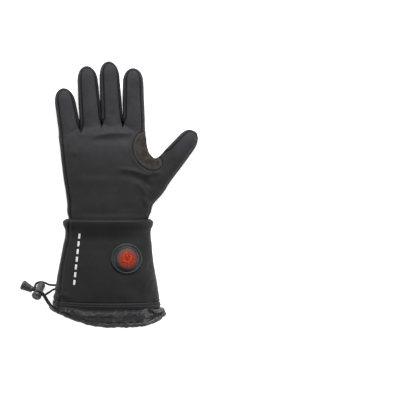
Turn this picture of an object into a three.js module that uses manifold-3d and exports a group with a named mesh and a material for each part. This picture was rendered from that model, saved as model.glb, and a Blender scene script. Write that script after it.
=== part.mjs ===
// A left-hand heated glove lying palm down: a softshell hand in two panels with a suede web patch,
// a flared gauntlet cuff with a round push button, and a gathered nylon skirt with a drawcord and lock.
// Millimetres. +X is towards the thumb, +Y towards the fingertips, +Z up from the table.
// Y is 0 at the wrist seam while the pieces are made, and the finished glove is centred on its base.
import * as THREE from "three";
import Module from "manifold-3d";
import { mergeVertices } from "three/addons/utils/BufferGeometryUtils.js";

const wasm = await Module();
wasm.setup();

// Driving dimensions
const palmWidth = 104;
const handLength = 192;
const handThickness = 32;
const fingerWidth = 25;
const fingerThickness = 20;
const fingertipLength = 18;
const thumbWidth = 27;
const thumbThickness = 24;
const thumbTipLength = 19;
const shellWall = 2.4;
const seamGap = 0.3;
const tipSeam = 1.1;
const pressedFlat = 0.8;

const cuffLength = 102.5;
const cuffWidth = 129;
const cuffThickness = 52;
const cuffWall = 2.4;
const fitClearance = 0.35;
const wristOverlap = 8;

const skirtDrop = 20.5;
const skirtWidth = 134;
const skirtThickness = 40;
const skirtWall = 1.1;
const skirtOverlap = 8;
const hemRadius = 2.6;
const gatherDepth = 1.3;
const edgeOverlap = 0.8;

const buttonRadius = 18.2;
const buttonHeight = 5.2;
const buttonFlange = 1.6;
const bezelSkirt = 4;
const beadHeight = 0.5;
const beadWidth = 0.8;
const collarWidth = 0.9;
const padRadius = 12;
const padTravel = 0.8;
const padClearance = 0.35;
const padFloor = 1.8;
const padDome = 1.4;
const padProud = 0.8;
const padEdge = 0.6;

const lockRadius = 4.6;
const lockLength = 14;
const lockWall = 1.1;
const lockFloor = 1.2;
const lockBase = 0.4;
const lockLip = 0.5;
const lockChamfer = 1;
const plungerTravel = 2.5;
const plungerHeadRadius = 5.9;
const plungerHeadLength = 4.4;
const plungerChamfer = 0.7;
const cordLean = 0.8;
const drawcordDiameter = 2.1;
const tetherDiameter = 2.6;
const cordClearance = 0.35;
const cordEndLength = 15;
const cordEndRadius = 6.1;
const cordEndNeckRadius = 3.9;
const cordEndGrip = 4.4;
const cordEndEdge = 0.6;

// Counts that set how finely the soft forms are faceted
const digitSides = 12;
const palmSides = 24;
const cuffSides = 24;
const gathers = 14;
const skirtSides = 4 * gathers;
const tipSteps = 3;
const hemBeadDegrees = [45, -10, -65, -115, -170, 135];
const roundSides = 18;
const cordSides = 8;

const fabricBlack = 0x38383a;
const nylonBlack = 0x3a383c;
const plasticBlack = 0x3c3c3c;

// Digits. Places are shares of palmWidth across and of handLength along, widths of fingerWidth or
// thumbWidth. The seam columns are how far the back panel's seam lies inside the digit's outline, as
// shares of its width. The tube starts inside the palm.
const fingers = [
  { baseX: -0.43, baseY: 0.47, tipX: -0.541, tipY: 0.832, width: 0.99, leftSeam: 0.16, rightSeam: 0.07 },
  { baseX: -0.196, baseY: 0.47, tipX: -0.268, tipY: 0.971, width: 0.99, leftSeam: 0.16, rightSeam: 0.07 },
  { baseX: 0.045, baseY: 0.47, tipX: -0.012, tipY: 1.0, width: 0.97, leftSeam: 0.18, rightSeam: 0.07 },
  { baseX: 0.287, baseY: 0.47, tipX: 0.27, tipY: 0.957, width: 1.0, leftSeam: 0.16, rightSeam: 0.16 },
];
const thumb = { baseX: 0.36, baseY: 0.15, tipX: 0.99, tipY: 0.562, leftSeam: 0.13, rightSeam: 0.12 };

// How a digit's width and thickness change from its base to where its rounded tip starts.
const fingerForm = [
  { along: 0, width: 1.03, thickness: 1.0 },
  { along: 0.55, width: 1.02, thickness: 1.02 },
  { along: 1, width: 0.96, thickness: 0.94 },
];
const thumbForm = [
  { along: 0, width: 1.2, thickness: 1.15 },
  { along: 0.25, width: 1.26, thickness: 1.12 },
  { along: 0.5, width: 1.06, thickness: 1.05 },
  { along: 0.75, width: 0.98, thickness: 1.0 },
  { along: 1, width: 0.88, thickness: 0.92 },
];

// Palm sections. Along is a share of handLength, left and right of palmWidth, thickness of
// handThickness, and slant is how far the little-finger side falls back, as a share of handLength.
const palmForm = [
  { along: 0.05, left: -0.482, right: 0.474, thickness: 1.0, slant: 0 },
  { along: 0.11, left: -0.482, right: 0.5, thickness: 1.0, slant: 0 },
  { along: 0.18, left: -0.498, right: 0.53, thickness: 1.0, slant: 0 },
  { along: 0.26, left: -0.52, right: 0.53, thickness: 1.0, slant: 0 },
  { along: 0.33, left: -0.538, right: 0.55, thickness: 0.98, slant: 0 },
  { along: 0.395, left: -0.553, right: 0.488, thickness: 0.94, slant: 0 },
  { along: 0.46, left: -0.566, right: 0.434, thickness: 0.87, slant: 0 },
  { along: 0.52, left: -0.58, right: 0.421, thickness: 0.79, slant: 0.01 },
  { along: 0.57, left: -0.585, right: 0.415, thickness: 0.7, slant: 0.03 },
  { along: 0.596, left: -0.575, right: 0.408, thickness: 0.62, slant: 0.045 },
];

// Cuff sections. Along is a share of cuffLength below the wrist seam, left and right of cuffWidth,
// thickness of cuffThickness, and wall of cuffWall. The first rows are the folded top edge.
const cuffForm = [
  { along: -0.018, left: -0.412, right: 0.39, thickness: 0.78, wall: 1.0 },
  { along: 0.004, left: -0.422, right: 0.404, thickness: 0.81, wall: 1.5 },
  { along: 0.045, left: -0.422, right: 0.405, thickness: 0.81, wall: 1.5 },
  { along: 0.095, left: -0.406, right: 0.389, thickness: 0.78, wall: 1.0 },
  { along: 0.14, left: -0.403, right: 0.386, thickness: 0.77, wall: 1.0 },
  { along: 0.28, left: -0.425, right: 0.397, thickness: 0.82, wall: 1.0 },
  { along: 0.43, left: -0.446, right: 0.408, thickness: 0.87, wall: 1.0 },
  { along: 0.57, left: -0.468, right: 0.425, thickness: 0.92, wall: 1.0 },
  { along: 0.71, left: -0.486, right: 0.446, thickness: 0.96, wall: 1.0 },
  { along: 0.85, left: -0.502, right: 0.464, thickness: 0.99, wall: 1.0 },
  { along: 0.95, left: -0.513, right: 0.472, thickness: 1.0, wall: 1.0 },
  { along: 0.955, left: -0.518, right: 0.476, thickness: 1.01, wall: 1.2 },
  { along: 1.0, left: -0.518, right: 0.476, thickness: 1.01, wall: 1.2 },
];
// The cuff's lower edge rises towards its two sides by these shares of cuffLength.
const cuffEdgeRise = { left: 0.032, right: 0.01 };

// Skirt sections between the cuff's edge and the hem. Along is a share of skirtDrop, and spread says
// how far the section has gone from the cuff's inside to the hem's outline.
const skirtForm = [
  { along: 0.06, spread: 0, gather: 0.2 },
  { along: 0.3, spread: 0.5, gather: 0.7 },
  { along: 0.7, spread: 0.88, gather: 1 },
];
const skirtCentre = -0.018;
const hemRise = { left: 1.02, right: 0.6 };
const hemCurve = { left: 1.75, right: 5.5 };

// The suede patch's outline on the hand, as shares of palmWidth across and handLength along.
const webPatch = [
  { x: 0.4, y: 0.565 },
  { x: 0.33, y: 0.545 },
  { x: 0.285, y: 0.5 },
  { x: 0.272, y: 0.455 },
  { x: 0.3, y: 0.4 },
  { x: 0.37, y: 0.35 },
  { x: 0.455, y: 0.322 },
  { x: 0.54, y: 0.318 },
  { x: 0.605, y: 0.338 },
  { x: 0.635, y: 0.375 },
  { x: 0.66, y: 0.46 },
];

// The push button's centre: a share of cuffLength down the cuff, and of its half width across.
const buttonAlong = 0.43;
const buttonAcross = 0.44;

// Routes of the cords, chosen by hand, as points in millimetres with Y from the wrist seam.
const drawcordRoute = [
  [-68.9, -102.4, 17.6],
  [-72.0, -98.8, 16.2],
  [-75.4, -94.0, 14.1],
  [-79.4, -88.0, 12.2],
  [-84.7, -84.0, 11.35],
  [-89.2, -82.7, 10],
  [-92.5, -82.1, 8],
  [-96.6, -80.5, 6.7],
];
const tetherRoute = [
  [-60.1, -76.6, 14.6],
  [-66.4, -76.6, 11.6],
  [-72.5, -76.4, 7.4],
  [-77.2, -74.6, 4.2],
  [-81.5, -73.3, 2.6],
  [-86, -73.6, 2],
  [-89.4, -75.8, 1.8],
  [-90.4, -79.2, 1.7],
  [-89, -83.6, 1.6],
  [-85, -87.8, 1.6],
  [-79.6, -89, 2.8],
  [-73.6, -86, 6.6],
  [-67.2, -81.9, 11.4],
  [-60.3, -80.4, 14.3],
];
const lockFoot = [-81.8, -76.2, 4.3];
const lockDirection = [-6, -14.4, 13.1];
const strandSpacing = drawcordDiameter + 0.3;
const cordEndTurn = [-12.2, 6.1, -0.4];

// Small helpers for vectors and solids
const vec = (p) => new THREE.Vector3(...p);
const power = (value, exponent) => Math.sign(value) * Math.abs(value) ** exponent;
const mix = (a, b, t) => a + (b - a) * t;

function solidOf(geometry) {
  const bare = geometry.index ? geometry.toNonIndexed() : geometry.clone();
  const points = new THREE.BufferGeometry().setAttribute("position", bare.getAttribute("position"));
  const merged = mergeVertices(points, 1e-4);
  const triVerts = new Uint32Array(merged.index.array);
  const mesh = { numProp: 3, vertProperties: merged.attributes.position.array, triVerts };
  const made = new wasm.Manifold(new wasm.Mesh(mesh));
  if (made.volume() > 0) return made;
  for (let i = 0; i < triVerts.length; i += 3) {
    [triVerts[i + 1], triVerts[i + 2]] = [triVerts[i + 2], triVerts[i + 1]];
  }
  return new wasm.Manifold(new wasm.Mesh(mesh));
}

function geometryOf(solid) {
  const mesh = solid.getMesh();
  const positions = new Float32Array(mesh.numVert * 3);
  for (let i = 0; i < mesh.numVert; i++) {
    positions.set(mesh.vertProperties.subarray(i * mesh.numProp, i * mesh.numProp + 3), i * 3);
  }
  const geometry = new THREE.BufferGeometry();
  geometry.setAttribute("position", new THREE.BufferAttribute(positions, 3));
  geometry.setIndex(new THREE.BufferAttribute(mesh.triVerts, 1));
  const flat = geometry.toNonIndexed();
  flat.computeVertexNormals();
  return flat;
}

const unite = (solids) => solids.reduce((sum, solid) => sum.add(solid));
const largestBody = (solid) => solid.decompose().reduce((a, b) => (a.volume() > b.volume() ? a : b));

// A closed surface through rings of equally many points, its ends closed by fans.
function loft(rings) {
  const sides = rings[0].length;
  const points = rings.flat();
  const faces = [];
  for (let r = 0; r + 1 < rings.length; r++) {
    for (let i = 0; i < sides; i++) {
      const j = (i + 1) % sides;
      const [a, b, c, d] = [r * sides + i, r * sides + j, (r + 1) * sides + j, (r + 1) * sides + i];
      faces.push(a, b, c, a, c, d);
    }
  }
  for (const [ring, start, turned] of [[rings[0], 0, true], [rings.at(-1), (rings.length - 1) * sides, false]]) {
    const centre = points.length;
    points.push(ring.reduce((sum, p) => sum.add(p), new THREE.Vector3()).divideScalar(sides));
    for (let i = 0; i < sides; i++) {
      const [a, b] = [start + i, start + ((i + 1) % sides)];
      faces.push(centre, turned ? b : a, turned ? a : b);
    }
  }
  return solidOf(new THREE.BufferGeometry().setFromPoints(points).setIndex(faces));
}

// A closed tube surface: rings that follow one another round a loop.
function loopedLoft(rings) {
  const sides = rings[0].length;
  const faces = [];
  rings.forEach((_, r) => {
    const next = (r + 1) % rings.length;
    for (let i = 0; i < sides; i++) {
      const j = (i + 1) % sides;
      const [a, b, c, d] = [r * sides + i, r * sides + j, next * sides + j, next * sides + i];
      faces.push(a, b, c, a, c, d);
    }
  });
  return solidOf(new THREE.BufferGeometry().setFromPoints(rings.flat()).setIndex(faces));
}

// One soft section: a rounded outline whose underside is pressed flat against the table.
// Across runs from left to right, and low and high are its lowest and highest points.
function sectionPoint({ halfWidth, low, high, floor, squareness }, angle) {
  const across = halfWidth * power(Math.cos(angle), 2 / squareness);
  const share = 0.5 + 0.5 * power(Math.sin(angle), 2 / squareness);
  return { across, up: Math.max(floor, mix(low, high, share)) };
}

function ringOf(section, sides, place) {
  return Array.from({ length: sides }, (_, i) => {
    const { across, up } = sectionPoint(section, (2 * Math.PI * i) / sides);
    return place(across, up, section);
  });
}

// Hand: four finger tubes and a thumb tube joined to a lofted palm
function digitSections(digit, form, width, thickness, tipLength, inset) {
  const base = new THREE.Vector2(digit.baseX * palmWidth, digit.baseY * handLength);
  const tip = new THREE.Vector2(digit.tipX * palmWidth, digit.tipY * handLength);
  const axis = tip.clone().sub(base).normalize();
  const straight = base.distanceTo(tip) - tipLength;
  const centre = (distance) => base.clone().addScaledVector(axis, distance);
  const section = (distance, widthShare, thicknessShare) => {
    const middle = (thickness * form.at(-1).thickness) / 2;
    const half = (thickness * thicknessShare) / 2;
    return {
      centre: centre(distance),
      axis,
      halfWidth: (width * widthShare) / 2 - inset,
      low: Math.min(middle - half, 0) - pressedFlat + inset,
      high: Math.max(middle, half) + half - inset,
      floor: inset,
      squareness: 2.3,
    };
  };
  const sections = form.map((row) => section(row.along * straight, row.width, row.thickness));
  const last = sections.at(-1);
  const reach = tipLength - inset;
  for (let step = 1; step <= tipSteps; step++) {
    const angle = (step / (tipSteps + 0.4)) * (Math.PI / 2);
    const shrink = Math.cos(angle);
    const middle = (last.low + last.high) / 2;
    sections.push({
      ...last,
      centre: centre(straight + reach * Math.sin(angle)),
      halfWidth: last.halfWidth * shrink,
      low: mix(middle, last.low, shrink),
      high: mix(middle, last.high, shrink),
    });
  }
  sections.push({
    ...sections.at(-1),
    centre: centre(straight + reach),
    halfWidth: last.halfWidth * 0.09,
    low: mix(last.low, last.high, 0.45),
    high: mix(last.low, last.high, 0.55),
  });
  return sections;
}

function digitTube(sections) {
  const place = (across, up, { centre, axis }) =>
    new THREE.Vector3(centre.x + axis.y * across, centre.y - axis.x * across, up);
  return loft(sections.map((section) => ringOf(section, digitSides, place)));
}

const fingerSections = (finger, inset) =>
  digitSections(finger, fingerForm, fingerWidth * finger.width, fingerThickness, fingertipLength, inset);
const thumbSections = (inset) =>
  digitSections(thumb, thumbForm, thumbWidth, thumbThickness, thumbTipLength, inset);

function cuffSection(row, inset) {
  const left = row.left * cuffWidth + inset;
  const right = row.right * cuffWidth - inset;
  return {
    y: -row.along * cuffLength,
    centre: (left + right) / 2,
    halfWidth: (right - left) / 2,
    low: inset - pressedFlat,
    high: row.thickness * cuffThickness - inset,
    floor: inset,
    squareness: 2.45,
  };
}

// The cuff's section at any share of its length, between the rows of its table.
function cuffSectionAt(along, inset) {
  const next = Math.max(1, cuffForm.findIndex((row) => row.along >= along));
  const [a, b] = [cuffForm[next - 1], cuffForm[next]];
  const t = (along - a.along) / (b.along - a.along);
  const row = { along };
  for (const key of ["left", "right", "thickness"]) row[key] = mix(a[key], b[key], t);
  return cuffSection(row, inset);
}

// The wrist end of the hand runs inside the cuff's top edge, a clearance away from it.
function wristSections(inset) {
  const reach = wristOverlap / cuffLength;
  const seat = 1.5 * cuffWall + fitClearance;
  return [reach, 0].map((along) => {
    const section = cuffSectionAt(along + cuffForm[0].along, seat + inset);
    return { ...section, floor: seat + inset, slant: 0, squareness: 2.45 };
  });
}

function palmSections(inset) {
  const rows = palmForm.map((row, i) => {
    const left = row.left * palmWidth + inset;
    const right = row.right * palmWidth - inset;
    const end = i === palmForm.length - 1 ? inset : 0;
    return {
      y: row.along * handLength - end,
      centre: (left + right) / 2,
      halfWidth: (right - left) / 2,
      low: inset - pressedFlat,
      high: row.thickness * handThickness - inset,
      floor: inset,
      slant: row.slant * handLength,
      squareness: 2.5,
    };
  });
  return [...wristSections(inset), ...rows];
}

function palmBody(inset, overrun) {
  const place = (across, up, { y, centre, halfWidth, slant }) => {
    const towardsLittleFinger = Math.max(0, -across / halfWidth);
    return new THREE.Vector3(centre + across, y - slant * towardsLittleFinger ** 1.5, up);
  };
  const sections = palmSections(inset);
  const mouth = { ...sections[0], y: sections[0].y - overrun };
  const all = overrun ? [mouth, ...sections] : sections;
  return loft(all.map((section) => ringOf(section, palmSides, place)));
}

const handBody = (inset, overrun) =>
  unite([
    palmBody(inset, overrun),
    ...fingers.map((finger) => digitTube(fingerSections(finger, inset))),
    digitTube(thumbSections(inset)),
  ]);

// Panels are cut out of the hand's wall by upright prisms that stand inside their seams.
const splitHeight = fingerThickness / 2;
const prismHeight = 2 * handThickness;

function prism(outline, bottom) {
  const shape = new THREE.Shape(outline.map(([x, y]) => new THREE.Vector2(x, y)));
  const geometry = new THREE.ExtrudeGeometry(shape, { depth: prismHeight, bevelEnabled: false });
  return solidOf(geometry.translate(0, 0, bottom));
}

function digitOutline(sections, digit, width, grow) {
  const side = (sign, seam) =>
    sections.map(({ centre, axis, halfWidth }, i) => {
      const seamed = Math.max(0.5, halfWidth - Math.min(seam * width, 0.6 * halfWidth)) + tipSeam;
      const place = i === 0 ? centre.clone().addScaledVector(axis, -grow) : centre;
      return [place.x + sign * axis.y * seamed, place.y - sign * axis.x * seamed];
    });
  return [...side(-1, digit.leftSeam), ...side(1, digit.rightSeam).reverse()];
}

function backPrism(grow) {
  const tipInset = tipSeam - grow;
  const palmRows = palmSections(0);
  const [leftSeam, rightSeam] = [fingers[0].leftSeam, 0.05].map((share) => share * fingerWidth - grow);
  const palmOutline = [
    ...palmRows.map(({ y, centre, halfWidth, slant }) => [centre - halfWidth + leftSeam, y - slant]),
    ...palmRows.map(({ y, centre, halfWidth }) => [centre + halfWidth - rightSeam, y]).reverse(),
  ];
  palmOutline[0][1] -= wristOverlap;
  palmOutline.at(-1)[1] -= wristOverlap;
  palmOutline[palmRows.length - 1][1] += grow;
  palmOutline[palmRows.length][1] += grow;
  const bottom = splitHeight - grow;
  const digits = [
    ...fingers.map((finger) => [finger, fingerSections(finger, tipInset), fingerWidth]),
    [thumb, thumbSections(tipInset), thumbWidth],
  ];
  const outlines = digits.map(([digit, sections, width]) => digitOutline(sections, digit, width, grow));
  return unite([palmOutline, ...outlines].map((outline) => prism(outline, bottom)));
}

function patchPrism(grow) {
  const points = webPatch.map(({ x, y }) => new THREE.Vector2(x * palmWidth, y * handLength));
  const centre = points.reduce((sum, p) => sum.clone().add(p)).divideScalar(points.length);
  const outline = points.map((p) => {
    const away = p.clone().sub(centre).normalize().multiplyScalar(grow);
    return [p.x + away.x, p.y + away.y];
  });
  return prism(outline, -1);
}

const handWall = handBody(0, 0).subtract(handBody(shellWall, shellWall));
const webPatchSolid = largestBody(handWall.intersect(patchPrism(0)));
const seamedWall = handWall.subtract(patchPrism(seamGap));
const backPanel = largestBody(seamedWall.intersect(backPrism(0)));
const palmPanel = largestBody(seamedWall.subtract(backPrism(seamGap)));

// Cuff: a flared tube with a folded top edge and a turned hem
function cuffBody(insetOf, overrun) {
  const place = (across, up, { y, centre, halfWidth, edge }) => {
    const side = across / halfWidth;
    const rise = (side < 0 ? cuffEdgeRise.left : cuffEdgeRise.right) * cuffLength * side * side * edge;
    return new THREE.Vector3(centre + across, y + rise, up);
  };
  const sections = cuffForm.map((row) => ({
    ...cuffSection(row, insetOf(row)),
    edge: Math.max(0, row.along) ** 3,
  }));
  if (overrun) {
    sections.unshift({ ...sections[0], y: sections[0].y + overrun });
    sections.push({ ...sections.at(-1), y: sections.at(-1).y - overrun });
  }
  return loft(sections.map((section) => ringOf(section, cuffSides, place)));
}

const cuffOutside = cuffBody(() => 0, 0);
const cuffTube = cuffOutside.subtract(cuffBody((row) => row.wall * cuffWall, cuffWall));

// Skirt: thin gathered nylon that hangs out of the cuff and ends in a thick drawcord hem
function skirtSolid() {
  const seat = 1.2 * cuffWall + fitClearance;
  const start = cuffSectionAt(1 - skirtOverlap / cuffLength, seat);
  const throat = cuffSectionAt(1, seat);
  const hem = {
    centre: skirtCentre * skirtWidth,
    halfWidth: skirtWidth / 2,
    low: hemRadius,
    high: skirtThickness - hemRadius,
    floor: hemRadius,
    squareness: 2.2,
  };
  const edgeY = (side) => {
    const rise = (side < 0 ? cuffEdgeRise.left : cuffEdgeRise.right) * cuffLength;
    return -cuffLength + rise * side * side;
  };
  const hemY = (side) => {
    const hand = side < 0 ? "left" : "right";
    const rise = hemRise[hand] * skirtDrop * Math.abs(side) ** hemCurve[hand];
    return -cuffLength - skirtDrop + rise;
  };
  const blend = (t) => ({
    centre: mix(throat.centre, hem.centre, t),
    halfWidth: mix(throat.halfWidth, hem.halfWidth, t),
    low: mix(throat.low, hem.low, t),
    high: mix(throat.high, hem.high, t),
    floor: mix(seat, hem.floor, t),
    squareness: mix(2.45, 2.2, t),
  });
  const wallPoint = (section, angle, y, out) => {
    const outer = sectionPoint(section, angle);
    const normal = new THREE.Vector3(Math.cos(angle) * 0.7, 0, Math.sin(angle)).normalize();
    return new THREE.Vector3(section.centre + outer.across, y, outer.up).addScaledVector(normal, out);
  };
  const rings = [];
  for (let i = 0; i < skirtSides; i++) {
    const angle = (2 * Math.PI * i) / skirtSides;
    const fold = (gatherDepth / 2) * (Math.cos(gathers * angle) - 1);
    const side = power(Math.cos(angle), 0.85);
    const walls = [
      { section: start, y: -cuffLength + skirtOverlap, out: 0 },
      ...skirtForm.map(({ along, spread, gather }) => ({
        section: blend(spread),
        y: mix(edgeY(side) - edgeOverlap, hemY(side), along),
        out: fold * gather,
      })),
    ];
    const outside = walls.map(({ section, y, out }) => wallPoint(section, angle, y, out));
    const inside = walls.map(({ section, y, out }) => wallPoint(section, angle, y, out - skirtWall));
    const centre = wallPoint(hem, angle, hemY(side), 0.4 * fold);
    const outward = new THREE.Vector3(Math.cos(angle) * 0.7, 0, Math.sin(angle)).normalize();
    const bead = hemBeadDegrees.map((degrees) => {
      const turn = THREE.MathUtils.degToRad(degrees);
      return centre
        .clone()
        .addScaledVector(outward, hemRadius * Math.cos(turn))
        .add(new THREE.Vector3(0, hemRadius * Math.sin(turn), 0));
    });
    rings.push([...outside, ...bead, ...inside.reverse()]);
  }
  return loopedLoft(rings);
}

// Cords: round tubes along their routes
function cordTube(points, diameter, steps) {
  const curve = new THREE.CatmullRomCurve3(points.map(vec));
  const section = new THREE.Shape();
  for (let i = 0; i < cordSides; i++) {
    const angle = (2 * Math.PI * i) / cordSides;
    section[i ? "lineTo" : "moveTo"]((diameter / 2) * Math.cos(angle), (diameter / 2) * Math.sin(angle));
  }
  return solidOf(new THREE.ExtrudeGeometry(section, { steps, extrudePath: curve, bevelEnabled: false }));
}

const lockAxis = vec(lockDirection).normalize();
// The two strands run side by side: each point moves square to the route, towards the lock's axis.
const strandRoute = (sign) =>
  drawcordRoute.map((point, i) => {
    const next = drawcordRoute[Math.min(i + 1, drawcordRoute.length - 1)];
    const heading = vec(next).sub(vec(drawcordRoute[Math.max(i - 1, 0)])).normalize();
    const apart = lockAxis.clone().addScaledVector(heading, -heading.dot(lockAxis)).normalize();
    return vec(point).addScaledVector(apart, (sign * strandSpacing) / 2).toArray();
  });
const routeSteps = (points, diameter) => {
  const curve = new THREE.CatmullRomCurve3(points.map(vec));
  return Math.min(80, Math.ceil(curve.getLength() / (2 * diameter)));
};
function cordSolid(points, diameter, grow = 0) {
  return cordTube(points, diameter + 2 * grow, routeSteps(points, diameter));
}
const strands = [1, -1].map(strandRoute);
const drawcordSolids = strands.map((route) => cordSolid(route, drawcordDiameter));
const drawcordHole = unite(strands.map((route) => cordSolid(route, drawcordDiameter, cordClearance)));
const tetherSolid = cordSolid(tetherRoute, tetherDiameter);
const tetherHole = cordSolid(tetherRoute, tetherDiameter, cordClearance);

const skirt = skirtSolid().subtract(drawcordHole).subtract(tetherHole);

// Push button: a moulded bezel seated on the cuff, and the pad that presses into it
const lathe = (profile) => {
  const points = profile.map(([r, z]) => new THREE.Vector2(r, z));
  return solidOf(new THREE.LatheGeometry(points, roundSides).rotateX(Math.PI / 2));
};

function buttonSeat() {
  const section = cuffSectionAt(buttonAlong, 0);
  const angle = Math.acos(power(buttonAcross, section.squareness / 2));
  const at = (along, turn) => {
    const here = cuffSectionAt(along, 0);
    const { across, up } = sectionPoint(here, turn);
    return new THREE.Vector3(here.centre + across, here.y, up);
  };
  const step = 0.02;
  const acrossCuff = at(buttonAlong, angle - step).sub(at(buttonAlong, angle + step));
  const alongCuff = at(buttonAlong - step, angle).sub(at(buttonAlong + step, angle));
  const normal = new THREE.Vector3().crossVectors(acrossCuff, alongCuff).normalize();
  return { place: at(buttonAlong, angle), normal };
}

// Stands a solid made round +Z on a place, with its axis turned to a direction.
function standOn(place, direction) {
  const turn = new THREE.Quaternion().setFromUnitVectors(new THREE.Vector3(0, 0, 1), direction);
  return new THREE.Matrix4().compose(place, turn, new THREE.Vector3(1, 1, 1));
}

const buttonPlace = buttonSeat();
const buttonTurn = standOn(buttonPlace.place, buttonPlace.normal);
const placed = (solid, matrix) => solid.transform(matrix.elements);

const bezelBore = padRadius + padClearance;
const beadTop = buttonFlange + beadHeight;
const bezelProfile = [
  [0, -bezelSkirt],
  [buttonRadius, -bezelSkirt],
  [buttonRadius, buttonFlange],
  [buttonRadius - beadHeight, beadTop],
  [buttonRadius - beadHeight - beadWidth, beadTop],
  [buttonRadius - 1.7 * beadHeight - beadWidth, buttonFlange],
  [bezelBore + collarWidth, buttonHeight],
  [bezelBore, buttonHeight],
  [bezelBore, padFloor],
  [0, padFloor],
];
const cuffSeat = cuffBody(() => -fitClearance, 0);
const bezel = placed(lathe(bezelProfile), buttonTurn).subtract(cuffSeat);
const padBottom = padFloor + padTravel + padClearance;
const padShoulder = buttonHeight + padProud;
const padProfile = [
  [0, padBottom],
  [padRadius, padBottom],
  [padRadius, padShoulder - padEdge],
  [padRadius - padEdge, padShoulder],
  [0.8 * padRadius, padShoulder + 0.25 * padDome],
  [0.5 * padRadius, padShoulder + 0.8 * padDome],
  [0, padShoulder + padDome],
];
const pad = placed(lathe(padProfile), buttonTurn);

// Cord lock: a barrel with a slot for the cords, and a sprung plunger whose slot lines up with it
const lockTurn = standOn(vec(lockFoot), lockAxis);
const barrelBore = lockRadius - lockWall;
const plungerRadius = barrelBore - fitClearance;
const barrelProfile = [
  [0, -lockBase],
  [lockRadius - lockChamfer, -lockBase],
  [lockRadius, lockChamfer - lockBase],
  [lockRadius, lockLength - lockFloor - lockLip],
  [lockRadius + lockLip, lockLength - lockFloor],
  [lockRadius + lockLip, lockLength],
  [barrelBore, lockLength],
  [barrelBore, lockFloor],
  [0, lockFloor],
];
const slotHalfWidth = drawcordDiameter / 2 + 2 * cordClearance;
const slotHalfLength = (strandSpacing + drawcordDiameter) / 2 + cordClearance;

// A slot across the lock, along the way the cords run through it.
const strandMiddle = vec(drawcordRoute[4]);
const strandHeading = vec(drawcordRoute[5]).sub(vec(drawcordRoute[3]));
const slotAcross = strandHeading.clone().addScaledVector(lockAxis, -strandHeading.dot(lockAxis)).normalize();
const slotSide = new THREE.Vector3().crossVectors(lockAxis, slotAcross);
const slotHeight = strandMiddle.clone().sub(vec(lockFoot)).dot(lockAxis);

function slotSolid(extraUp, extraDown) {
  const up = slotHalfLength + extraUp;
  const down = slotHalfLength + extraDown;
  const geometry = new THREE.BoxGeometry(4 * lockRadius, 2 * slotHalfWidth, up + down);
  const basis = new THREE.Matrix4().makeBasis(slotAcross, slotSide, lockAxis);
  const centre = vec(lockFoot).addScaledVector(lockAxis, slotHeight + (up - down) / 2);
  return solidOf(geometry.applyMatrix4(basis.setPosition(centre)));
}

const barrel = placed(lathe(barrelProfile), lockTurn)
  .subtract(slotSolid(0, 0))
  .subtract(drawcordHole)
  .subtract(tetherHole);
const headBottom = lockLength + plungerTravel + fitClearance;
const plungerFoot = lockFloor + plungerTravel + fitClearance;
const plungerProfile = [
  [0, plungerFoot],
  [plungerRadius, plungerFoot],
  [plungerRadius, headBottom],
  [plungerHeadRadius - plungerChamfer, headBottom],
  [plungerHeadRadius, headBottom + plungerChamfer],
  [plungerHeadRadius, headBottom + 0.45 * plungerHeadLength],
  [plungerHeadRadius * 0.86, headBottom + 0.8 * plungerHeadLength],
  [plungerHeadRadius * 0.5, headBottom + plungerHeadLength],
  [0, headBottom + plungerHeadLength],
];
// The plunger's slot is longer by its travel, and by the cords' lean across it.
const plungerSlot = slotSolid(plungerTravel + cordLean, cordLean);
const plunger = placed(lathe(plungerProfile), lockTurn).subtract(plungerSlot);

// Cord end: a tapered bell that grips both strands in its neck
const cordEndAxis = vec(cordEndTurn).normalize();
const neckPlace = vec(drawcordRoute.at(-1)).addScaledVector(cordEndAxis, -cordEndGrip);
const cordEndProfile = [
  [0, 0],
  [cordEndNeckRadius - cordEndEdge, 0],
  [cordEndNeckRadius, cordEndEdge],
  [cordEndRadius - cordEndEdge, 0.73 * cordEndLength],
  [cordEndRadius, 0.83 * cordEndLength],
  [cordEndRadius - cordEndEdge, 0.94 * cordEndLength],
  [0.65 * cordEndRadius, cordEndLength],
  [0, cordEndLength],
];
const cordEnd = placed(lathe(cordEndProfile), standOn(neckPlace, cordEndAxis)).subtract(drawcordHole);
const cuff = largestBody(cuffTube.subtract(tetherHole));

// The assembly
const glove = new THREE.Group();
const fabric = { color: fabricBlack, roughness: 0.85, metalness: 0 };
const plastic = { color: plasticBlack, roughness: 0.5, metalness: 0 };
const pieces = [
  ["back_panel", backPanel, fabric],
  ["palm_panel", palmPanel, fabric],
  ["web_patch", webPatchSolid, { color: 0x403c37, roughness: 0.95, metalness: 0 }],
  ["gauntlet_cuff", cuff, fabric],
  ["storm_skirt", largestBody(skirt), { color: nylonBlack, roughness: 0.6, metalness: 0 }],
  ["button_bezel", bezel, { color: 0x2b302f, roughness: 0.45, metalness: 0 }],
  ["button_pad", pad, { color: 0xd8300a, roughness: 0.35, metalness: 0 }],
];
const cordPieces = [
  ["drawcord_upper", drawcordSolids[0], { color: 0x222222, roughness: 0.8, metalness: 0 }],
  ["drawcord_lower", drawcordSolids[1], { color: 0x222222, roughness: 0.8, metalness: 0 }],
  ["lock_tether", tetherSolid, { color: 0x222222, roughness: 0.8, metalness: 0 }],
  ["lock_barrel", barrel, plastic],
  ["lock_plunger", plunger, plastic],
  ["cord_end", cordEnd, plastic],
];
for (const [name, solid, look] of [...pieces, ...cordPieces]) {
  const mesh = new THREE.Mesh(geometryOf(solid), new THREE.MeshStandardMaterial(look));
  mesh.name = name;
  glove.add(mesh);
}

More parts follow.
